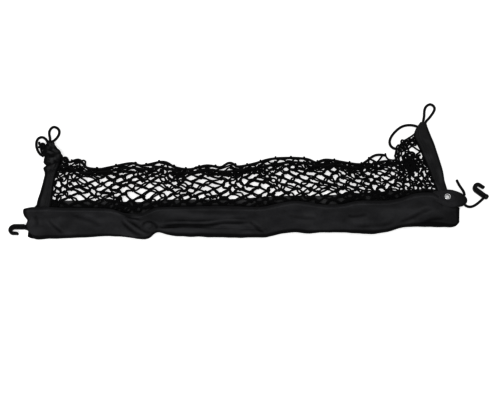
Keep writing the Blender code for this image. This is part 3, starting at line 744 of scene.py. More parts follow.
# Creases and dents, which fade out at the roll and at both ends.
row_share = np.linspace(0.0, 1.0, POCKET_LINE_POINTS)[:, None]
free_height = soft_step((row_share - 0.12) / 0.1)
flat_x, flat_y = pocket[..., 0], pocket[..., 1]
relief = np.zeros(flat_x.shape)
for depth, width, route in CREASES:
    relief += CREASE_GAIN * depth * crease_profile(flat_x, flat_y, route, width)
for height, size, finer_x, finer_y, seed in DENTS:
    relief += height * soft_noise(flat_x * finer_x, flat_y * finer_y, size, seed)
end_fade = soft_step(np.minimum(station_x - station_x[0], station_x[-1] - station_x) / 0.02)
pocket_normals = grid_normals(pocket)
pocket = pocket + pocket_normals * (relief * free_height * end_fade[None, :])[..., None]
pocket[..., 2] = np.maximum(pocket[..., 2], LOWEST_DENT)
pocket_normals = grid_normals(pocket)

# The hem rises where the cloth lies double, and turns over at its edge.
hem_lift = soft_step((row_share - 0.86) / 0.06) * HEM_FOLD / 2.0
pocket = pocket + pocket_normals * hem_lift[..., None]
pocket_normals = grid_normals(pocket)
edge_run = pocket[-1] - pocket[-2]
edge_run /= np.linalg.norm(edge_run, axis=1, keepdims=True)
hem_rows = turned_edge(pocket[-1], edge_run, -pocket_normals[-1])
for back in range(1, HEM_DEPTH_POINTS + 1):
    hem_rows.append(pocket[-1 - back] - pocket_normals[-1 - back] * HEM_FOLD)
front_grid = np.vstack([pocket, np.array(hem_rows)])

# The ridge along the stitches and the ridges of creases and dents are painted lighter as
# highlight; the roll, the deep creases, the hem, the right end's lower corner and both ends
# are painted darker as shade.
front_highlight = np.zeros(front_grid.shape[:2])
front_highlight[POCKET_LINE_POINTS - 8:POCKET_LINE_POINTS - 5] = 0.5
front_highlight[:POCKET_LINE_POINTS] += 0.45 * np.clip(relief / 0.0016, 0.0, 1.0)
front_painted_shade = np.zeros(front_grid.shape[:2])
corner = soft_step((flat_x - 0.395) / 0.05)
corner = corner * soft_step((0.35 * (flat_x - 0.42) - 0.088 - flat_y) / 0.018)
front_painted_shade[:POCKET_LINE_POINTS] = (0.7 * soft_step(-relief / 0.0034) + 0.35 * corner
                                     + soft_step((0.250 - row_share) / 0.07))
front_painted_shade[POCKET_LINE_POINTS - 4:] = 0.55
for column, shade in enumerate((1.0, 1.0, 0.8, 0.4)):
    front_painted_shade[:, column] += shade
    front_painted_shade[:, -1 - column] += shade
pocket_front = cloth_piece("pocket_front", front_grid, panel_finish, front_highlight, front_painted_shade)
give_thickness(pocket_front, CLOTH_SHEET)
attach(pocket_front, "root")
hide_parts("front_panel")

stitch_row = POCKET_LINE_POINTS - 6
stitch_line = pocket[stitch_row] + pocket_normals[stitch_row] * CLOTH_SHEET / 2.0
hem_seam = stitch_part(stitch_line[3:-3], pocket_normals[stitch_row][3:-3])
hem_stitches = mesh_piece("pocket_hem_stitches", [hem_seam], thread_finish)
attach(hem_stitches, "root")

# ------------------------------------------------------------- pocket back
# The pocket's back is a flat length of matt cloth, greyer than the front's. It
# lies on the floor from under the front's roll to the foot of the nets, where
# its edge is turned over once and carries the stitches that hold them.
BACK_HEM = 0.012
BACK_SEAM = 0.0085               # from the turned edge in to the stitches
BACK_ROWS = 30
BACK_EDGE_POINTS = 330
BACK_BLACK = (0.056, 0.056, 0.057, 1.0)
BACK_GREY = (0.128, 0.128, 0.132, 1.0)
BACK_WORN = (0.134, 0.134, 0.138, 1.0)
BACK_EDGE = (
    # x, y
    (-0.4785, -0.0903), (-0.4728, -0.0723), (-0.4588, -0.0563), (-0.4298, -0.0523),
    (-0.3348, -0.0523), (-0.2298, -0.0553), (-0.1608, -0.0493), (-0.0228, -0.0483),
    (0.0462, -0.0433), (0.1162, -0.0393), (0.1852, -0.0393), (0.2552, -0.0343),
    (0.3242, -0.0293), (0.3942, -0.0243), (0.4512, -0.0233), (0.4632, -0.0383),
    (0.4732, -0.0543), (0.4872, -0.0683), (0.4992, -0.0823),
)


def hem_ripple(x):
    """How the turned hem waves over the cloth under it."""
    return 0.0002 * np.sin(x * 240.0)


back_finish = woven_finish("matt back cloth", 1900.0, BACK_BLACK, BACK_GREY, BACK_WORN,
                           0.78, 0.00014)
back_edge_line = even_line(eased_rows(BACK_EDGE, 12), BACK_EDGE_POINTS)
roll_edge = np.interp(back_edge_line[:, 0], sections[:, 0], sections[:, 3]) + 0.003
back_rows = []
low = np.full(len(roll_edge), CLOTH_SHEET / 2.0)
for share in np.linspace(0.0, 1.0, BACK_ROWS):
    y = roll_edge + (back_edge_line[:, 1] - roll_edge) * share
    back_rows.append(np.column_stack([back_edge_line[:, 0], y, low]))
flat_back = np.array(back_rows)
inward = flat_back[-2] - flat_back[-1]
inward /= np.linalg.norm(inward, axis=1, keepdims=True)
hem_rows = turned_edge(flat_back[-1], -inward, Vector((0.0, 0.0, 1.0)))
for reach in np.linspace(0.0, BACK_HEM, 6)[1:]:
    hem = flat_back[-1] + inward * reach
    hem[:, 2] += HEM_FOLD + hem_ripple(hem[:, 0])
    hem_rows.append(hem)
back_grid = np.vstack([flat_back, np.array(hem_rows)])
back_wear = np.zeros(back_grid.shape[:2])
back_wear[BACK_ROWS - 2:BACK_ROWS + 6] = 0.4
# Painted shadow: the back cloth is painted near black in a band just behind the front's hem.
behind_hem = back_grid[..., 1] - np.interp(back_grid[..., 0], sections[:, 0], sections[:, 1])
back_painted_shade = 0.95 * soft_step((0.0100 - behind_hem) / 0.004)
pocket_back = cloth_piece("pocket_back", back_grid, back_finish, back_wear, back_painted_shade)
give_thickness(pocket_back, CLOTH_SHEET)
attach(pocket_back, "root")
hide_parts("back_panel")

seam_line = flat_back[-1] + inward * BACK_SEAM
seam_line[:, 2] = HEM_FOLD + CLOTH_SHEET + hem_ripple(seam_line[:, 0])
seam_ups = np.tile((0.0, 0.0, 1.0), (len(seam_line), 1))
foot_seam = stitch_part(seam_line[8:-8], seam_ups[8:-8])
foot_stitches = mesh_piece("pocket_back_stitches", [foot_seam], thread_finish)
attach(foot_stitches, "root")

# -------------------------------------------------------------- end strips
# Each end of the net is bound by a strip of cloth folded in two, its fold
# outside and its open edges on the twine, sewn through in two rows. The left
# one has drawn up into ruffles along its upper half; the right one lies flat.
STRIP_OVER_CORDS = 0.004         # how far a strip reaches over the loops' ends
STRIP_STATIONS = 110
FOLD_POINTS = 44
FOLD_SPACING = (1.0, 0.3)        # a step up the low fold counts for less than one across
STRIP_SEAMS = (38, 35)           # the rows that are sewn through, counted round the fold
LEFT_RUFFLE = 0.0028
STRIP_BLACK = (0.033, 0.033, 0.034, 1.0)
STRIP_GREY = (0.060, 0.060, 0.062, 1.0)
# the grey of rubbed places, also used as painted highlight on the ruffles' lumps
STRIP_WORN_AND_LIT = (0.088, 0.088, 0.091, 1.0)
LEFT_STRIP = (
    # y, outer_x, inner_x, height, lift
    (-0.0723, -0.4664, -0.4328, 0.0039, 0.0019), (-0.0483, -0.4636, -0.4318, 0.0046, 0.0019),
    (-0.0323, -0.4606, -0.4318, 0.0060, 0.0), (-0.0103, -0.4570, -0.4318, 0.0070, 0.0),
    (0.0097, -0.4546, -0.4298, 0.0080, 0.0), (0.0227, -0.4552, -0.4268, 0.0085, 0.0),
    (0.0317, -0.4574, -0.4238, 0.0100, 0.0), (0.0437, -0.4570, -0.4218, 0.0100, 0.0),
    (0.0577, -0.4598, -0.4188, 0.0120, 0.0), (0.0687, -0.4618, -0.4208, 0.0125, 0.0),
    (0.0797, -0.4628, -0.4290, 0.0110, 0.0), (0.0907, -0.4598, -0.4378, 0.0090, 0.0),
    (0.0977, -0.4568, -0.4418, 0.0065, 0.0),
)
RIGHT_STRIP = (
    # y, outer_x, inner_x, height, lift
    (-0.0323, 0.4802, 0.4582, 0.0039, 0.0019), (-0.0183, 0.4782, 0.4542, 0.0044, 0.0019),
    (-0.0003, 0.4752, 0.4482, 0.0060, 0.0), (0.0257, 0.4732, 0.4422, 0.0070, 0.0),
    (0.0517, 0.4682, 0.4342, 0.0080, 0.0), (0.0777, 0.4632, 0.4272, 0.0085, 0.0),
    (0.0957, 0.4592, 0.4202, 0.0085, 0.0), (0.1107, 0.4552, 0.4152, 0.0080, 0.0),
    (0.1217, 0.4522, 0.4152, 0.0075, 0.0), (0.1337, 0.4492, 0.4192, 0.0065, 0.0),
    (0.1427, 0.4472, 0.4252, 0.0060, 0.0), (0.1487, 0.4462, 0.4292, 0.0060, 0.0),
)
FOLD_PROFILE = (
    # share of the width, share of the height
    (0.0, 0.0), (0.5, 0.0), (0.94, 0.08), (1.0, 0.5), (0.94, 0.92), (0.62, 1.0), (0.3, 1.0),
    (0.0, 1.0),
)

strip_finish = woven_finish("binding cloth", 1500.0, STRIP_BLACK, STRIP_GREY, STRIP_WORN_AND_LIT,
                            0.66, 0.00018)


def folded_strip(rows, ruffle, seed):
    """A folded strip's cloth as a grid, with each point's painted shade, rubbing and highlight.

    Rows run round the fold and columns run up the strip.
    """
    stations = even_line(eased_rows(rows, 10), STRIP_STATIONS)
    reach = stations[-1] - stations[-2]
    extra = int(STRIP_OVER_CORDS / abs(reach[0])) + 1
    stations = np.vstack([stations] + [stations[-1:] + reach * step * (1, 1, 1, 0, 0)
                                       for step in range(1, extra + 1)])
    profile = even_line(eased_rows(FOLD_PROFILE, 8) * FOLD_SPACING, FOLD_POINTS) / FOLD_SPACING
    y = np.broadcast_to(stations[:, 0], (FOLD_POINTS, len(stations)))
    outer, inner, height, lift = stations[:, 1:].T
    across, up = profile[:, 0][:, None], profile[:, 1][:, None]
    x = inner + (outer - inner) * across
    z = lift + CLOTH_SHEET / 2.0 + (height - CLOTH_SHEET) * up
    lump = soft_noise(y, across * 0.05, 0.024, seed + 6.0)
    if ruffle:
        amount = soft_step((y + 0.004) / 0.045)
        lump = (1.0 - amount) * lump + amount * (
            1.3 * soft_noise(y, across * 0.034 + up * 0.012, 0.0082, seed + 6.0)
            + 0.4 * np.sin(y / 0.0031 + 5.0 * across + 2.0 * up))
        sway = 0.7 * np.sin(y / 0.0038 + 2.2 * across)
        sway = sway + 0.9 * soft_noise(y, across * 0.02, 0.012, seed)
        side = np.sign(outer - inner)
        x = x + side * amount * ruffle * sway * (0.15 + 0.85 * across)
        x = x + side * 0.0018 * amount * lump * (2.0 * across - 0.9)
        z = z + amount * ruffle * (0.4 * np.cos(y / 0.0034 + 3.0 * across) + 0.8 * lump) * up
    x = x + 0.0005 * soft_noise(y, across * 0.03, 0.03, seed + 9.0)
    z = np.maximum(z + 0.0004 * soft_noise(y, across * 0.04, 0.02, seed + 2.0) * up,
                   CLOTH_SHEET / 2.0)
    # Painted shade on both long edges and in the crevices, strongly on the ruffles. The lumps are
    # painted lighter, which on the ruffles, where they stand up, is painted highlight.
    dark_edge = 0.30 if ruffle else 0.20
    edge = np.maximum(soft_step((across - 1.0 + dark_edge) / 0.14),
                      soft_step((0.6 * dark_edge - across) / 0.12))
    crumple = lump + 0.9 * soft_noise(y, across * 0.030, 0.0045, seed + 15.0)
    crevice = soft_step(0.42 - 1.5 * crumple) * (amount if ruffle else 0.15)
    painted_shade = np.maximum(0.95 * edge, 0.95 * crevice)
    return np.stack([x, y, z], axis=-1), painted_shade, 0.6 * np.clip(lump, 0.0, 1.0)


def finish_strip(side, rows, ruffle, seed):
    """One end strip with its rubbing, painted light and shade, and its two rows of stitches."""
    grid, painted_shade, wear_and_highlight = folded_strip(rows, ruffle, seed)
    seam_rows = STRIP_SEAMS
    if side == "left":
        grid, painted_shade, wear_and_highlight = grid[::-1], painted_shade[::-1], wear_and_highlight[::-1]
        seam_rows = [FOLD_POINTS - 1 - row for row in STRIP_SEAMS]
    strip = cloth_piece("end_strip_" + side, grid, strip_finish, wear_and_highlight, painted_shade)
    give_thickness(strip, CLOTH_SHEET)
    normals = grid_normals(grid)
    seams = [stitch_part(grid[row, 4:-4] + normals[row, 4:-4] * CLOTH_SHEET / 2.0,
                         normals[row, 4:-4]) for row in seam_rows]
    stitches = mesh_piece("end_strip_stitches_" + side, seams, thread_finish)
    for piece in (strip, stitches):
        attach(piece, "root")
    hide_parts("side_panel_" + side)


finish_strip("left", LEFT_STRIP, LEFT_RUFFLE, 5.0)
finish_strip("right", RIGHT_STRIP, 0.0, 21.0)

# --------------------------------------------------------------- right tab
# A doubled tab of the panel's cloth covers the pocket's right corner. It is
# sewn round its edge and again round the hole that holds the eyelet.
TAB_EYE = Vector((0.4772, -0.0453, 0.0099))
TAB_THICK = 0.0016
TAB_TIP_HEIGHT = 0.0032
TAB_HOLE = 0.0061
TAB_RIM_POINTS = 121
TAB_ROWS = 22
TAB_SEAMS = (18, 7)              # rows of stitches, counted out from the hole
TAB_STITCH = (0.0032, 0.0024)    # from one stitch to the next, and its length
EYELET_FLANGE = 0.0080
TAB_OUTLINE = (
    # x, y
    (0.4452, -0.0443), (0.4462, -0.0313), (0.4632, -0.0273), (0.4812, -0.0273),
    (0.4982, -0.0303), (0.5142, -0.0363), (0.5222, -0.0453), (0.5222, -0.0553),
    (0.5142, -0.0643), (0.5022, -0.0693), (0.4872, -0.0723), (0.4712, -0.0683),
    (0.4562, -0.0583),
)

rim = even_line(eased_rows(TAB_OUTLINE + TAB_OUTLINE[:3], 12)[12:-12], TAB_RIM_POINTS)
out = rim - np.array(TAB_EYE.xy)
hole = np.array(TAB_EYE.xy) + out / np.linalg.norm(out, axis=1, keepdims=True) * TAB_HOLE
tab_rows = []
for share in np.linspace(0.0, 1.0, TAB_ROWS):
    spots = hole + (rim - hole) * share
    run = np.clip((spots[:, 0] - (TAB_EYE.x + EYELET_FLANGE + 0.002)) / 0.032, 0.0, 1.0)
    z = TAB_EYE.z + (TAB_TIP_HEIGHT - TAB_EYE.z) * run ** 1.3
    settle = np.clip((TAB_EYE.x - 0.004 - spots[:, 0]) / 0.020, 0.0, 1.0)
    lower = np.clip((TAB_EYE.y - 0.012 - spots[:, 1]) / 0.012, 0.0, 1.0)
    lower = lower * np.clip((0.500 - spots[:, 0]) / 0.012, 0.0, 1.0)
    z = z - 0.0040 * np.maximum(soft_step(settle), soft_step(lower))
    quilt = 0.00025 * math.sin(math.pi * share) - 0.0003 * math.exp(-((share - 0.86) / 0.05) ** 2)
    z = z + quilt + 0.0003 * soft_noise(spots[:, 0], spots[:, 1], 0.012, 2.0) * share
    tab_rows.append(np.column_stack([spots, z]))
tab_grid = np.array(tab_rows)
if grid_normals(tab_grid)[10, 10, 2] < 0.0:
    tab_grid = tab_grid[:, ::-1]
tab_wear = np.zeros(tab_grid.shape[:2])
tab_wear[-2:] = 0.45 * soft_step((tab_grid[-2:, :, 0] - 0.486) / 0.02)
# Painted shade: the tab is painted darker towards its tip, and most along its outer rim there.
tab_painted_shade = 0.35 * soft_step((tab_grid[..., 0] - 0.488) / 0.02)
tab_painted_shade[-3:] = 0.8 * soft_step((tab_grid[-3:, :, 0] - 0.470) / 0.02)
end_tab = cloth_piece("end_tab", tab_grid, panel_finish, tab_wear, tab_painted_shade)
weld = end_tab.modifiers.new("closed round", "WELD")
weld.merge_threshold = 0.00002
give_thickness(end_tab, TAB_THICK)
round_edges(end_tab, 0.0005, 50.0)
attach(end_tab, "root")
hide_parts("end_tab_right")

tab_normals = grid_normals(tab_grid)
tab_seams = [stitch_part(tab_grid[row] + tab_normals[row] * TAB_THICK / 2.0,
                         tab_normals[row], *TAB_STITCH) for row in TAB_SEAMS]
tab_stitches = mesh_piece("end_tab_stitches", tab_seams, thread_finish)
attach(tab_stitches, "root")

# ------------------------------------------------------------------ eyelet
# A two-part brass eyelet with a dull nickel finish, pressed through the
# tab: a rolled flange on top, a barrel through the hole, and a washer below.
EYELET_PROFILE = (
    # radius, height above the tab's middle
    (0.0044, -0.0013), (0.0045, 0.0012), (0.0048, 0.0021), (0.0053, 0.0027), (0.0060, 0.0030),
    (0.0067, 0.0029), (0.0073, 0.0026), (0.0078, 0.0021), (0.0080, 0.0017), (0.0079, 0.0015),
    (0.0070, 0.0015), (0.0058, 0.0013), (0.0053, 0.0010), (0.0053, -0.0010), (0.0056, -0.0016),
)
EYELET_SIDES = 64
NICKEL_BRIGHT = (0.56, 0.56, 0.57, 1.0)
NICKEL_DULL = (0.38, 0.38, 0.38, 1.0)

bpy.ops.object.select_all(action="DESELECT")
first_radius, first_height = EYELET_PROFILE[0]
bpy.ops.mesh.primitive_circle_add(vertices=EYELET_SIDES, radius=first_radius,
                                  location=TAB_EYE + Vector((0.0, 0.0, first_height)))
eyelet = bpy.context.active_object
eyelet.name = "eyelet_ring"
bpy.ops.object.mode_set(mode="EDIT")
bpy.ops.mesh.select_all(action="SELECT")
for (radius, height), (next_radius, next_height) in zip(EYELET_PROFILE, EYELET_PROFILE[1:]):
    bpy.ops.mesh.extrude_region_move(
        TRANSFORM_OT_translate={"value": (0.0, 0.0, next_height - height)})
    growth = next_radius / radius
    bpy.ops.transform.resize(value=(growth, growth, 1.0), center_override=TAB_EYE)
bpy.ops.mesh.select_all(action="SELECT")
bpy.ops.mesh.region_to_loop()
bpy.ops.mesh.bridge_edge_loops()
bpy.ops.mesh.select_all(action="SELECT")
bpy.ops.mesh.normals_make_consistent(inside=False)
bpy.ops.object.mode_set(mode="OBJECT")
bpy.ops.object.transform_apply(location=True, rotation=True, scale=True)
bpy.ops.object.shade_smooth_by_angle(angle=math.radians(50.0))

nickel, tree, shader = new_finish("nickel plate", 0.22, metallic=1.0)
plating = place_group(tree, uneven_tone, Vector=object_place(tree), Contrast=1.5)["Tone"]
scuffs = speckle(tree, object_place(tree), 1400.0, 3.0)
tree.links.new(blend_colours(tree, plating, NICKEL_BRIGHT, NICKEL_DULL),
               shader.inputs["Base Color"])
tree.links.new(calc(tree, "MULTIPLY_ADD", scuffs, 0.22, 0.14), shader.inputs["Roughness"])
raise_surface(tree, shader, scuffs, 0.00002)
eyelet.data.materials.append(nickel)
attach(eyelet, "root")
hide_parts("eyelet_right")

# -------------------------------------------------------------- top cords
# A length of the same elastic cord is threaded through the last meshes of
# each net and drawn up, which gathers the net along its top. Both cords start
# at the left strip. At the right the back one stops well short of the strip.
BACK_NET_EDGE = (
    # x, y
    (-0.4248, 0.0527), (-0.3998, 0.0417), (-0.3788, 0.0477), (-0.3608, 0.0277),
    (-0.3278, 0.0227), (-0.3048, 0.0277), (-0.2558, 0.0387), (-0.2298, 0.0327),
    (-0.1808, 0.0417), (-0.1528, 0.0277), (-0.1168, 0.0227), (-0.0778, 0.0327),
    (-0.0448, 0.0287), (-0.0238, 0.0397), (-0.0048, 0.0297), (0.0352, 0.0377),
    (0.0752, 0.0497), (0.1182, 0.0527), (0.1562, 0.0497), (0.1782, 0.0407),
    (0.2022, 0.0477), (0.2472, 0.0397), (0.2822, 0.0357), (0.2982, 0.0437),
    (0.3192, 0.0597), (0.3412, 0.0597), (0.3600, 0.0477), (0.3700, 0.0557),
    (0.3765, 0.0800), (0.3865, 0.0970), (0.3992, 0.1087), (0.4132, 0.1157),
)
FRONT_NET_EDGE = (
    # x, y
    (-0.4248, 0.0327), (-0.3948, 0.0247), (-0.3668, 0.0137), (-0.3298, 0.0137),
    (-0.2948, 0.0177), (-0.2568, 0.0257), (-0.2198, 0.0207), (-0.1848, 0.0267),
    (-0.1448, 0.0147), (-0.1148, 0.0117), (-0.0798, 0.0207), (-0.0398, 0.0157),
    (-0.0048, 0.0187), (0.0352, 0.0247), (0.0802, 0.0337), (0.1202, 0.0397),
    (0.1552, 0.0367), (0.1902, 0.0297), (0.2202, 0.0337), (0.2552, 0.0277),
    (0.2902, 0.0257), (0.3172, 0.0377), (0.3452, 0.0427), (0.3672, 0.0357),
    (0.3952, 0.0497), (0.4322, 0.0617),
)
TOP_CORD_ENDS = {"back": (-0.4215, 0.3412), "front": (-0.4215, 0.4252)}
LAYER_STEP = {"back": 0.0, "front": 0.0036}     # from the back net up to each net
CORD_OVER_NET = {"back": 0.0005, "front": 0.0010}
CORD_PAST_EDGE = 0.0045
TOP_CORD_SIDES = 14
NET_EDGES = {"back": eased_rows(BACK_NET_EDGE, 8), "front": eased_rows(FRONT_NET_EDGE, 8)}


def edge_y(side, x):
    """Where a net's top edge is."""
    return np.interp(x, NET_EDGES[side][:, 0], NET_EDGES[side][:, 1])


def foot_y(x):
    """Where the nets' feet are sewn on the pocket's back."""
    return np.interp(x, back_edge_line[:, 0], back_edge_line[:, 1]) - 0.004


def drape(x, y):
    """The back net's height over the floor: over the panel's edge, and up at its top."""
    past_edge = y - foot_y(x) - 0.004
    lap = 0.0015 * np.clip((0.032 - past_edge) / 0.016, 0.0, 1.0)
    top = np.clip(1.0 - (edge_y("back", x) - y) / 0.045, 0.0, 1.0)
    roll = 0.0012 + 0.0007 * np.sin(x / 0.031) + 0.0004 * np.sin(x / 0.013 + y / 0.017)
    return 0.0019 + lap + top * top * (roll + 0.0016)


def top_cord_line(side):
    """The line of the cord that is threaded along a net's top edge."""
    start, stop = TOP_CORD_ENDS[side]
    x = np.linspace(start, stop, int((stop - start) / 0.0045))
    slope = (edge_y(side, x + 0.003) - edge_y(side, x - 0.003)) / 0.006
    out = np.column_stack([-slope, np.ones(len(x))])
    out /= np.linalg.norm(out, axis=1, keepdims=True)
    spots = np.column_stack([x, edge_y(side, x)]) + out * CORD_PAST_EDGE
    z = drape(spots[:, 0], spots[:, 1]) + LAYER_STEP[side] + CORD_OVER_NET[side]
    line = eased_rows(np.column_stack([spots, z]), 3)
    return even_line(line, int(run_of(line)[-1] / 0.0018))


top_cords = {}
for side in ("back", "front"):
    top_cords[side] = top_cord_line(side)
    tube = tube_part(top_cords[side], CORD_WIDTH / 2.0, TOP_CORD_SIDES, dome=CORD_DOME)
    top_cord = mesh_piece("top_cord_" + side + "_sleeve", [tube], cord_sleeve)
    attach(top_cord, "root")
    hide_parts("top_cord_" + side)

# -------------------------------------------------------------------- nets
# Two slack layers of knotted net in black twisted twine, a little under four
# millimetres thick. Each is sewn to the pocket's back along its foot, bound by
# the strips at its ends, and gathered on its cord by its last meshes.
TWINE = 0.0038
TWINE_SIDES = 6
MESH_BAR = 0.0220                # twine from knot to knot
NET_COLUMN_WIDTHS = ((0.7, 0.9, 1.1, 1.1) + (1.0,) * 16
                     + (0.95, 0.9, 0.85, 0.75, 0.65, 0.6, 0.6))
NET_ROW_COUNTS = {"back": 13, "front": 11}
NET_OPEN_ROWS = 9                # rows that lie open, under those drawn up by the cord
NET_DRAWN_STEP = 0.0060
NET_ROW_STEP = 0.0098            # from one row of knots to the next where the net lies open
NET_FOOT_LAP = 0.020             # how far the nets run down behind the pocket
NET_LAYER_DRIFT = 0.008          # how far the layers slide apart where they do
KNOT_SIZE = 0.0036
BAR_SHARES = np.linspace(0.0, 1.0, 7)
BAR_BOW = 0.0048                 # the most that a slack bar bows sideways
ARCH_DIP = (0.026, 0.328, 0.019)    # how deep, where, and how wide the net hangs under the arch
STRIP_GRIP = 0.0024              # how far a net's last knots stand off a strip's edge
SKEIN_STEP = 0.0028
LOOSE_STEP = 0.0026
TWINE_DOME = 0.5
TWINE_BLACK = (0.009, 0.009, 0.010, 1.0)
TWINE_GREY = (0.024, 0.024, 0.025, 1.0)

twine_finish, tree, shader = new_finish("twisted twine", 0.78, specular=0.08)
axes = split_axes(tree, surface_uv(tree))
lay = calc(tree, "ADD", calc(tree, "MULTIPLY", axes["X"], 3.0 / (math.pi * TWINE)),
           calc(tree, "MULTIPLY", axes["Y"], 170.0))
plies = calc(tree, "ABSOLUTE", calc(tree, "SINE", calc(tree, "MULTIPLY", lay, math.pi)))
dye = place_group(tree, uneven_tone, Vector=object_place(tree), Contrast=2.0)["Tone"]
tree.links.new(blend_colours(tree, calc(tree, "MULTIPLY", plies, dye), TWINE_BLACK, TWINE_GREY),
               shader.inputs["Base Color"])
raise_surface(tree, shader, plies, 0.0005)


def net_top(side, x):
    """A net's own top edge, which hangs lower where its cord stands up in an arch."""
    depth, middle, width = ARCH_DIP
    dip = depth * np.exp(-((x - middle) / width) ** 2) if side == "back" else 0.0
    return edge_y(side, x) - dip


def net_places(side, column, row):
    """Where the knots of a net lie before they stray, between its strips and its edges."""
    widths = np.concatenate([[0.0], np.cumsum(NET_COLUMN_WIDTHS)])
    share = np.interp(column, np.arange(len(widths)), widths / widths[-1])
    count = NET_ROW_COUNTS[side]
    x = -0.42 + 0.85 * share         # a first guess, which the rounds below put right
    left_side = eased_rows(LEFT_STRIP, 6)
    right_side = eased_rows(RIGHT_STRIP, 6)
    for _ in range(5):
        tall = net_top(side, x) - foot_y(x) + NET_FOOT_LAP
        drawn = count - NET_OPEN_ROWS
        open_part = np.maximum(NET_OPEN_ROWS * NET_ROW_STEP, tall - drawn * NET_DRAWN_STEP)
        open_part = np.minimum(open_part, tall * 0.94)
        if row <= NET_OPEN_ROWS:
            rise = open_part * row / NET_OPEN_ROWS
        else:
            rise = open_part + (tall - open_part) * (row - NET_OPEN_ROWS) / drawn
        y = foot_y(x) - NET_FOOT_LAP + rise
        left = np.interp(y, left_side[:, 0], left_side[:, 2]) + STRIP_GRIP
        right = np.interp(y, right_side[:, 0], right_side[:, 2]) - STRIP_GRIP
        x = left + (right - left) * share
    return x, y


def slack_bars(starts, stops, sags, seed):
    """Lines of slack twine from knot to knot, bowed sideways by what they have to spare."""
    chance = np.random.default_rng(seed)
    gap = stops - starts
    span = np.linalg.norm(gap[:, :2], axis=1)
    spare = np.maximum(MESH_BAR * chance.uniform(0.92, 1.10, len(span)), span * 1.01) - span
    bow = np.minimum(2.0 / math.pi * np.sqrt(span * spare), BAR_BOW)
    square = np.column_stack([-gap[:, 1], gap[:, 0]]) / span[:, None]
    twist = chance.uniform(-0.9, 0.9, len(span))
    single = bow * np.cos(twist) * sags
    double = bow * np.sin(twist) * 0.6
    share = BAR_SHARES[None, :]
    sideways = (single[:, None] * np.sin(math.pi * share)
                + double[:, None] * np.sin(2.0 * math.pi * share))
    lines = starts[:, None, :] + gap[:, None, :] * share[..., None]
    lines[..., :2] += square[:, None, :] * sideways[..., None]
    lines[..., 2] += 0.0007 * np.sin(math.pi * share) * chance.uniform(0.2, 1.6, (len(span), 1))
    return lines


def knot_lines(middles, seed):
    """Small tight knots: a trefoil of twine at each middle, turned at random."""
    chance = np.random.default_rng(seed)
    turn = np.linspace(0.0, 2.0 * math.pi, 16)[:-1]
    loop = np.column_stack([np.sin(turn) + 2.0 * np.sin(2.0 * turn),
                            np.cos(turn) - 2.0 * np.cos(2.0 * turn),
                            -1.1 * np.sin(3.0 * turn)]) * KNOT_SIZE / 3.0
    angles = chance.uniform(0.0, 2.0 * math.pi, len(middles))
    sizes = chance.uniform(0.85, 1.15, len(middles))[:, None]
    x = (loop[:, 0] * np.cos(angles)[:, None] - loop[:, 1] * np.sin(angles)[:, None]) * sizes
    y = (loop[:, 0] * np.sin(angles)[:, None] + loop[:, 1] * np.cos(angles)[:, None]) * sizes
    z = np.broadcast_to(loop[:, 2], x.shape) * sizes
    lines = middles[:, None, :] + np.stack([x, y, z], axis=-1)
    lines[..., 2] = np.maximum(lines[..., 2], TWINE / 2.0)
    return lines


def cord_bights(side, left_knots, right_knots):
    """The last meshes: twine that runs up from two knots and passes round the top cord."""
    cord_line = top_cords[side]
    lines = []
    for left, right in zip(left_knots, right_knots):
        middle = (left + right) / 2.0
        nearest = int(np.argmin(np.linalg.norm(cord_line[:, :2] - middle[:2], axis=1)))
        if nearest < 3 or nearest > len(cord_line) - 4:
            continue
        hold = cord_line[nearest]
        along = cord_line[nearest + 2] - cord_line[nearest - 2]
        along[2] = 0.0
        along /= np.linalg.norm(along)
        away = np.array((-along[1], along[0], 0.0))
        wrap = CORD_WIDTH / 2.0 + TWINE / 2.0
        up = np.array((0.0, 0.0, 1.0))
        low = max(hold[2] - wrap, TWINE * 0.72) - hold[2]
        route = [left, left * 0.45 + (hold - along * 0.003 + up * wrap * 0.7) * 0.55,
                 hold - along * 0.0018 - away * 0.0012 + up * wrap,
                 hold - along * 0.0008 + away * wrap * 0.50 + up * wrap * 0.85,
                 hold + away * wrap * 0.64,
                 hold + along * 0.0008 + away * wrap * 0.50 + up * low * 0.85,
                 hold + along * 0.0018 - away * 0.0012 + up * low,
                 right * 0.45 + (hold + along * 0.003 + up * low * 0.7) * 0.55, right]
        lines.append(even_line(eased_rows(route, 5), 20))
    return lines


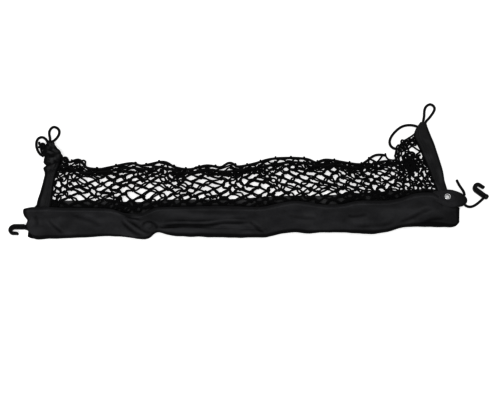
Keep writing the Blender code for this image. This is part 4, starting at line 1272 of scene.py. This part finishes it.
def knotted_net(side, seed):
    """One layer of net as parts: bars, knots, and bights round its top cord."""
    chance = np.random.default_rng(seed)
    last_row = NET_ROW_COUNTS[side]
    net_columns = len(NET_COLUMN_WIDTHS)
    apart = NET_LAYER_DRIFT if side == "front" else 0.0
    places = {}
    for row in range(last_row + 1):
        columns = np.arange(net_columns + 1) + (0.5 if row % 2 else 0.0)
        columns = columns[columns <= net_columns]
        x, y = net_places(side, columns, row)
        inner = np.minimum(columns, net_columns - columns)
        freedom = np.clip(inner, 0.0, 1.0) * min(0.25 + row / 2.0, 1.0)
        top_ease = 1.0 if row < last_row - 1 else 0.45
        warp_x = (0.015 * soft_noise(x, y * 1.6, 0.075, 31.0)
                  + apart * soft_noise(x, y, 0.080, 77.0))
        warp_y = (0.008 * soft_noise(x, y * 1.6, 0.060, 34.0)
                  + apart * 0.5 * soft_noise(x, y, 0.070, 81.0))
        x = x + freedom * (warp_x + chance.uniform(-0.0022, 0.0022, len(x)))
        y = y + freedom * top_ease * (warp_y + chance.uniform(-0.0015, 0.0015, len(y)))
        rise = soft_step((y - foot_y(x)) / 0.02) * LAYER_STEP[side]
        z = drape(x, y) + rise + chance.uniform(0.0, 0.0008, len(x))
        places[row] = (columns, np.column_stack([x, y, z]))
    starts = []
    stops = []
    for row in range(last_row):
        low_columns, low = places[row]
        high_columns, high = places[row + 1]
        for column, spot in zip(low_columns, low):
            gaps = np.abs(high_columns - column)
            for mate in np.argsort(gaps)[:2]:
                if gaps[mate] <= 0.75:
                    starts.append(spot)
                    stops.append(high[mate])
    starts = np.array(starts)
    stops = np.array(stops)
    sags = np.sign(soft_noise(starts[:, 0], starts[:, 1], 0.04, seed + 6.0) + 0.12)
    bars = slack_bars(starts, stops, sags, seed + 1)
    floor_height = drape(bars[..., 0], bars[..., 1]) - 0.0002
    bars[..., 2] = np.maximum(bars[..., 2], np.maximum(floor_height, TWINE / 2.0))
    knots = np.vstack([places[row][1] for row in range(1, last_row)])
    parts = [tube_part(bars, TWINE / 2.0, TWINE_SIDES),
             tube_part(knot_lines(knots, seed + 2), TWINE * 0.42, 5, closed=True)]
    top = places[last_row][1]
    bights = np.array(cord_bights(side, top[:-1], top[1:]))
    chords = (bights[:, -1] - bights[:, 0]) * (1.0, 1.0, 0.0)
    parts.append(tube_part(bights, TWINE / 2.0, TWINE_SIDES, up=chords))
    return parts


def loose_part(route, steps, point_step):
    """A free length of twine along a route."""
    line = eased_rows(route, steps)
    line = even_line(line, int(run_of(line)[-1] / point_step))
    return tube_part(line, TWINE / 2.0, TWINE_SIDES, dome=TWINE_DOME)


def skein(middle, size, height, turns, seed):
    """Slack twine heaped at one place: a line that wanders round its middle."""
    chance = np.random.default_rng(seed)
    route = []
    angle = chance.uniform(0.0, 6.28)
    for _ in range(turns * 6):
        angle += chance.uniform(0.7, 1.4)
        reach = chance.uniform(0.35, 1.0)
        x = middle[0] + math.cos(angle) * size[0] * reach
        y = middle[1] + math.sin(angle) * size[1] * reach
        z = TWINE / 2.0 + 0.0006 + chance.uniform(0.0, 1.0) * height
        route.append((x, y, z))
    return loose_part(route, 5, SKEIN_STEP)


SKEINS = (
    # side, middle, reach across and up, height, turns, seed
    ("back", (-0.4120, 0.0500), (0.010, 0.009), 0.007, 3, 1),
    ("front", (-0.4100, 0.0330), (0.010, 0.008), 0.006, 2, 2),
    ("back", (-0.3760, 0.0270), (0.012, 0.005), 0.004, 2, 3),
    ("back", (0.3980, 0.0400), (0.014, 0.017), 0.006, 6, 5),
    ("front", (0.4030, 0.0330), (0.014, 0.013), 0.006, 4, 6),
    ("back", (0.3900, 0.0560), (0.012, 0.012), 0.005, 3, 7),
    ("front", (0.4080, 0.0980), (0.012, 0.008), 0.006, 3, 8),
    ("front", (0.4020, 0.0640), (0.014, 0.010), 0.006, 3, 11),
    ("back", (0.3890, 0.0870), (0.010, 0.009), 0.005, 2, 9),
)
LOOSE_TWINE = {
    # slack meshes that stand above the edge, by the net that they belong to
    "back": (
        ((0.3010, 0.0440, 0.005), (0.3120, 0.0400, 0.006), (0.3240, 0.0480, 0.007),
         (0.3330, 0.0600, 0.006), (0.3380, 0.0660, 0.005)),
        ((0.3428, 0.0690, 0.004), (0.3440, 0.0610, 0.004), (0.3500, 0.0530, 0.005),
         (0.3640, 0.0520, 0.005), (0.3700, 0.0600, 0.005), (0.3755, 0.0700, 0.004),
         (0.3750, 0.0830, 0.004), (0.3800, 0.0930, 0.004), (0.3880, 0.1010, 0.004),
         (0.3980, 0.1085, 0.004), (0.4080, 0.1150, 0.005), (0.4160, 0.1210, 0.006)),
    ),
    "front": (
        ((-0.3860, 0.0400, 0.006), (-0.3800, 0.0430, 0.006), (-0.3740, 0.0480, 0.005),
         (-0.3680, 0.0510, 0.005), (-0.3630, 0.0480, 0.005), (-0.3630, 0.0400, 0.006),
         (-0.3680, 0.0330, 0.007), (-0.3760, 0.0300, 0.007)),
    ),
}

for side, seed in (("back", 31), ("front", 57)):
    net_parts = knotted_net(side, seed)
    for owner, middle, size, height, turns, skein_seed in SKEINS:
        if owner == side:
            net_parts.append(skein(middle, size, height, turns, skein_seed))
    for route in LOOSE_TWINE[side]:
        net_parts.append(loose_part(route, 8, LOOSE_STEP))
    net = mesh_piece("net_layer_" + side, net_parts, twine_finish)
    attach(net, "root")
    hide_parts("net_" + side)

# ------------------------------------------------------------------- hooks
# A flat hook moulded in black nylon: a round eye that the cord is tied in, a
# shank with a lightening groove on both faces, and a crook with a rounded
# tip. The left one lies against the pocket's end, the right one on its cord.
HOOK_HEIGHT = 0.0070
HOOK_SHANK = 0.0270
HOOK_BEND = 0.00775
HOOK_TIP = 0.0110
HOOK_WIDTH = 0.0102                 # at the eye, and less along the crook
HOOK_INNER_EDGE = 0.0039
HOOK_SPIN_STEPS = 16
HOOK_EYE = 0.0050
HOOK_BORE = 0.0022
HOOK_EYE_LAP = 0.0012               # how far the shank starts inside the eye
HOOK_NECK = 0.0125                  # the first stretch of the shank
HOOK_TAPER = 0.967                  # by which each step of the bend is narrower
HOOK_TIP_STEPS = (
    # share of the tip's length, lift, and the width and thickness that are kept
    (0.6, 0.0003, 0.90, 1.0), (0.3, 0.0007, 0.88, 1.0), (0.1, 0.0004, 0.7, 0.7),
)
HOOK_GROOVE = (0.0016, 0.0011)      # wall left beside the groove, and its depth
HOOK_GROOVE_START = 0.0095
HOOK_PLAIN_TIP = (0.0200, 0.013)    # the tip has no groove before this x and past this y
HOOK_ROUNDING = 0.0006
NYLON_BLACK = (0.010, 0.010, 0.011, 1.0)
NYLON_RUBBED = (0.030, 0.030, 0.032, 1.0)

nylon, tree, shader = new_finish("moulded nylon", 0.36, specular=0.22)
grain = speckle(tree, object_place(tree), 2400.0, 2.0)
scrapes = speckle(tree, object_place(tree), 260.0, 5.0)
handled = calc(tree, "GREATER_THAN", scrapes, 0.60)
tree.links.new(blend_colours(tree, calc(tree, "MULTIPLY", handled, 0.5), NYLON_BLACK,
                             NYLON_RUBBED), shader.inputs["Base Color"])
tree.links.new(calc(tree, "MULTIPLY_ADD", scrapes, 0.3, 0.2), shader.inputs["Roughness"])
raise_surface(tree, shader, grain, 0.00003)


def select_faces(mesh_object, test):
    """In edit mode, select only the faces that pass a test."""
    bpy.ops.mesh.select_all(action="DESELECT")
    bpy.ops.object.mode_set(mode="OBJECT")
    for face in mesh_object.data.polygons:
        face.select = test(face)
    bpy.ops.object.mode_set(mode="EDIT")


def cut_with(mesh_object, radius, depth, operation):
    """Join a cylinder at the hook's eye to the hook, or cut it out."""
    bpy.ops.object.select_all(action="DESELECT")
    bpy.ops.mesh.primitive_cylinder_add(vertices=32, radius=radius, depth=depth,
                                        location=(0.0, 0.0, HOOK_HEIGHT / 2.0))
    tool = bpy.context.active_object
    bpy.context.view_layer.objects.active = mesh_object
    step = mesh_object.modifiers.new("eye", "BOOLEAN")
    step.operation = operation
    step.object = tool
    step.solver = "EXACT"
    bpy.ops.object.modifier_apply(modifier=step.name)
    bpy.data.objects.remove(tool, do_unlink=True)


def moulded_hook():
    """The hook as it leaves the mould, flat, from its eye along X."""
    bpy.ops.object.select_all(action="DESELECT")
    start = HOOK_EYE - HOOK_EYE_LAP
    bpy.ops.mesh.primitive_cube_add(size=1.0)
    hook = bpy.context.active_object
    bpy.ops.object.mode_set(mode="EDIT")
    bpy.ops.mesh.select_all(action="SELECT")
    bpy.ops.transform.resize(value=(HOOK_NECK, HOOK_WIDTH, HOOK_HEIGHT))
    bpy.ops.transform.translate(value=(start + HOOK_NECK / 2.0,
                                       HOOK_INNER_EDGE - HOOK_WIDTH / 2.0, HOOK_HEIGHT / 2.0))
    select_faces(hook, lambda face: face.normal.x > 0.9)
    bpy.ops.mesh.extrude_region_move(
        TRANSFORM_OT_translate={"value": (HOOK_SHANK - start - HOOK_NECK, 0.0, 0.0)})
    bend_middle = Vector((HOOK_SHANK, HOOK_BEND, HOOK_HEIGHT / 2.0))
    inner_radius = HOOK_BEND - HOOK_INNER_EDGE
    for step in range(HOOK_SPIN_STEPS):
        bpy.ops.mesh.spin(steps=1, angle=-math.pi / HOOK_SPIN_STEPS, axis=(0.0, 0.0, 1.0),
                          center=bend_middle)
        turned = math.pi * (step + 1) / HOOK_SPIN_STEPS
        inner = bend_middle + inner_radius * Vector((math.sin(turned), -math.cos(turned), 0.0))
        bpy.ops.transform.resize(value=(HOOK_TAPER, HOOK_TAPER, 1.0), center_override=inner)
    end_width = HOOK_WIDTH * HOOK_TAPER ** HOOK_SPIN_STEPS
    middle = bend_middle + Vector((0.0, inner_radius + end_width / 2.0, 0.0))
    for share, lift, width, thickness in HOOK_TIP_STEPS:
        bpy.ops.mesh.extrude_region_move(
            TRANSFORM_OT_translate={"value": (-HOOK_TIP * share, lift, 0.0)})
        middle += Vector((-HOOK_TIP * share, lift, 0.0))
        bpy.ops.transform.resize(value=(1.0, width, thickness), center_override=middle)
    wall, depth = HOOK_GROOVE
    plain_x, plain_y = HOOK_PLAIN_TIP
    for direction in (1.0, -1.0):
        select_faces(hook, lambda face: face.normal.z * direction > 0.9
                     and face.center.x > HOOK_GROOVE_START
                     and not (face.center.y > plain_y and face.center.x < plain_x))
        bpy.ops.mesh.inset(thickness=wall, depth=0.0)
        bpy.ops.transform.translate(value=(0.0, 0.0, -direction * depth))
    bpy.ops.mesh.select_all(action="SELECT")
    bpy.ops.mesh.remove_doubles(threshold=0.00001)
    bpy.ops.mesh.normals_make_consistent(inside=False)
    bpy.ops.object.mode_set(mode="OBJECT")
    cut_with(hook, HOOK_EYE, HOOK_HEIGHT, "UNION")
    cut_with(hook, HOOK_BORE, HOOK_HEIGHT * 2.0, "DIFFERENCE")
    bpy.context.view_layer.objects.active = hook
    hook.select_set(True)
    round_edges(hook, HOOK_ROUNDING, 38.0)
    bpy.ops.object.modifier_apply(modifier="rounding")
    bpy.ops.object.shade_smooth_by_angle(angle=math.radians(40.0))
    hook.data.materials.clear()
    hook.data.materials.append(nylon)
    return hook


HOOK_PLACES = {
    "left": Matrix.Translation((-0.4838, -0.1183, 0.0)) @ Matrix.Rotation(math.pi, 4, "Z"),
    "right": (Matrix.Translation((0.5677, -0.0423, HOOK_HEIGHT))
              @ Matrix.Rotation(math.radians(139.0), 4, "Z") @ Matrix.Rotation(math.pi, 4, "X")),
}
first_hook = moulded_hook()
for side, place in HOOK_PLACES.items():
    hook = bpy.data.objects.new("moulded_hook_" + side, first_hook.data.copy())
    hook.data.transform(place)
    bpy.context.scene.collection.objects.link(hook)
    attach(hook, "root")
    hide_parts("hook_" + side)
bpy.data.objects.remove(first_hook, do_unlink=True)

# --------------------------------------------------------- floor and light
# A plain white floor, broad soft light from the front left and from above,
# and an even white surround, as in a small studio.
FLOOR_SIZE = 6.0
FLOOR_DROP = -0.0001             # the floor is just below what lies on it
FLOOR_GREY = (0.42, 0.42, 0.42, 1.0)
PURE_WHITE = (1.0, 1.0, 1.0, 1.0)
FLOOR_GLOW = 0.64
SURROUND_GLOW = 0.62

bpy.ops.object.select_all(action="DESELECT")
bpy.ops.mesh.primitive_plane_add(size=FLOOR_SIZE, location=(0.0, 0.0, FLOOR_DROP))
floor = bpy.context.active_object
floor.name = "studio_floor"
floor_finish, tree, shader = new_finish("white floor", 0.9, specular=0.0)
shader.inputs["Base Color"].default_value = FLOOR_GREY
shader.inputs["Emission Color"].default_value = PURE_WHITE
shader.inputs["Emission Strength"].default_value = FLOOR_GLOW
floor.data.materials.append(floor_finish)


def soft_light(name, place, aim, size, power):
    """A square area light at a place, turned to what it lights."""
    lamp = bpy.data.lights.new(name, "AREA")
    lamp.shape = "SQUARE"
    lamp.size = size
    lamp.energy = power
    light_object = bpy.data.objects.new(name, lamp)
    light_object.location = place
    way = Vector(aim) - Vector(place)
    light_object.rotation_euler = way.to_track_quat("-Z", "Y").to_euler()
    bpy.context.scene.collection.objects.link(light_object)


soft_light("key_light", (-1.2, -1.8, 2.2), (0.0, 0.0, 0.0), 1.8, 55.0)
soft_light("top_light", (0.6, 0.9, 2.6), (0.0, 0.0, 0.0), 2.2, 22.0)
world = bpy.data.worlds.new("studio surround")
world.use_nodes = True
world.node_tree.nodes["Background"].inputs["Color"].default_value = PURE_WHITE
world.node_tree.nodes["Background"].inputs["Strength"].default_value = SURROUND_GLOW
bpy.context.scene.world = world
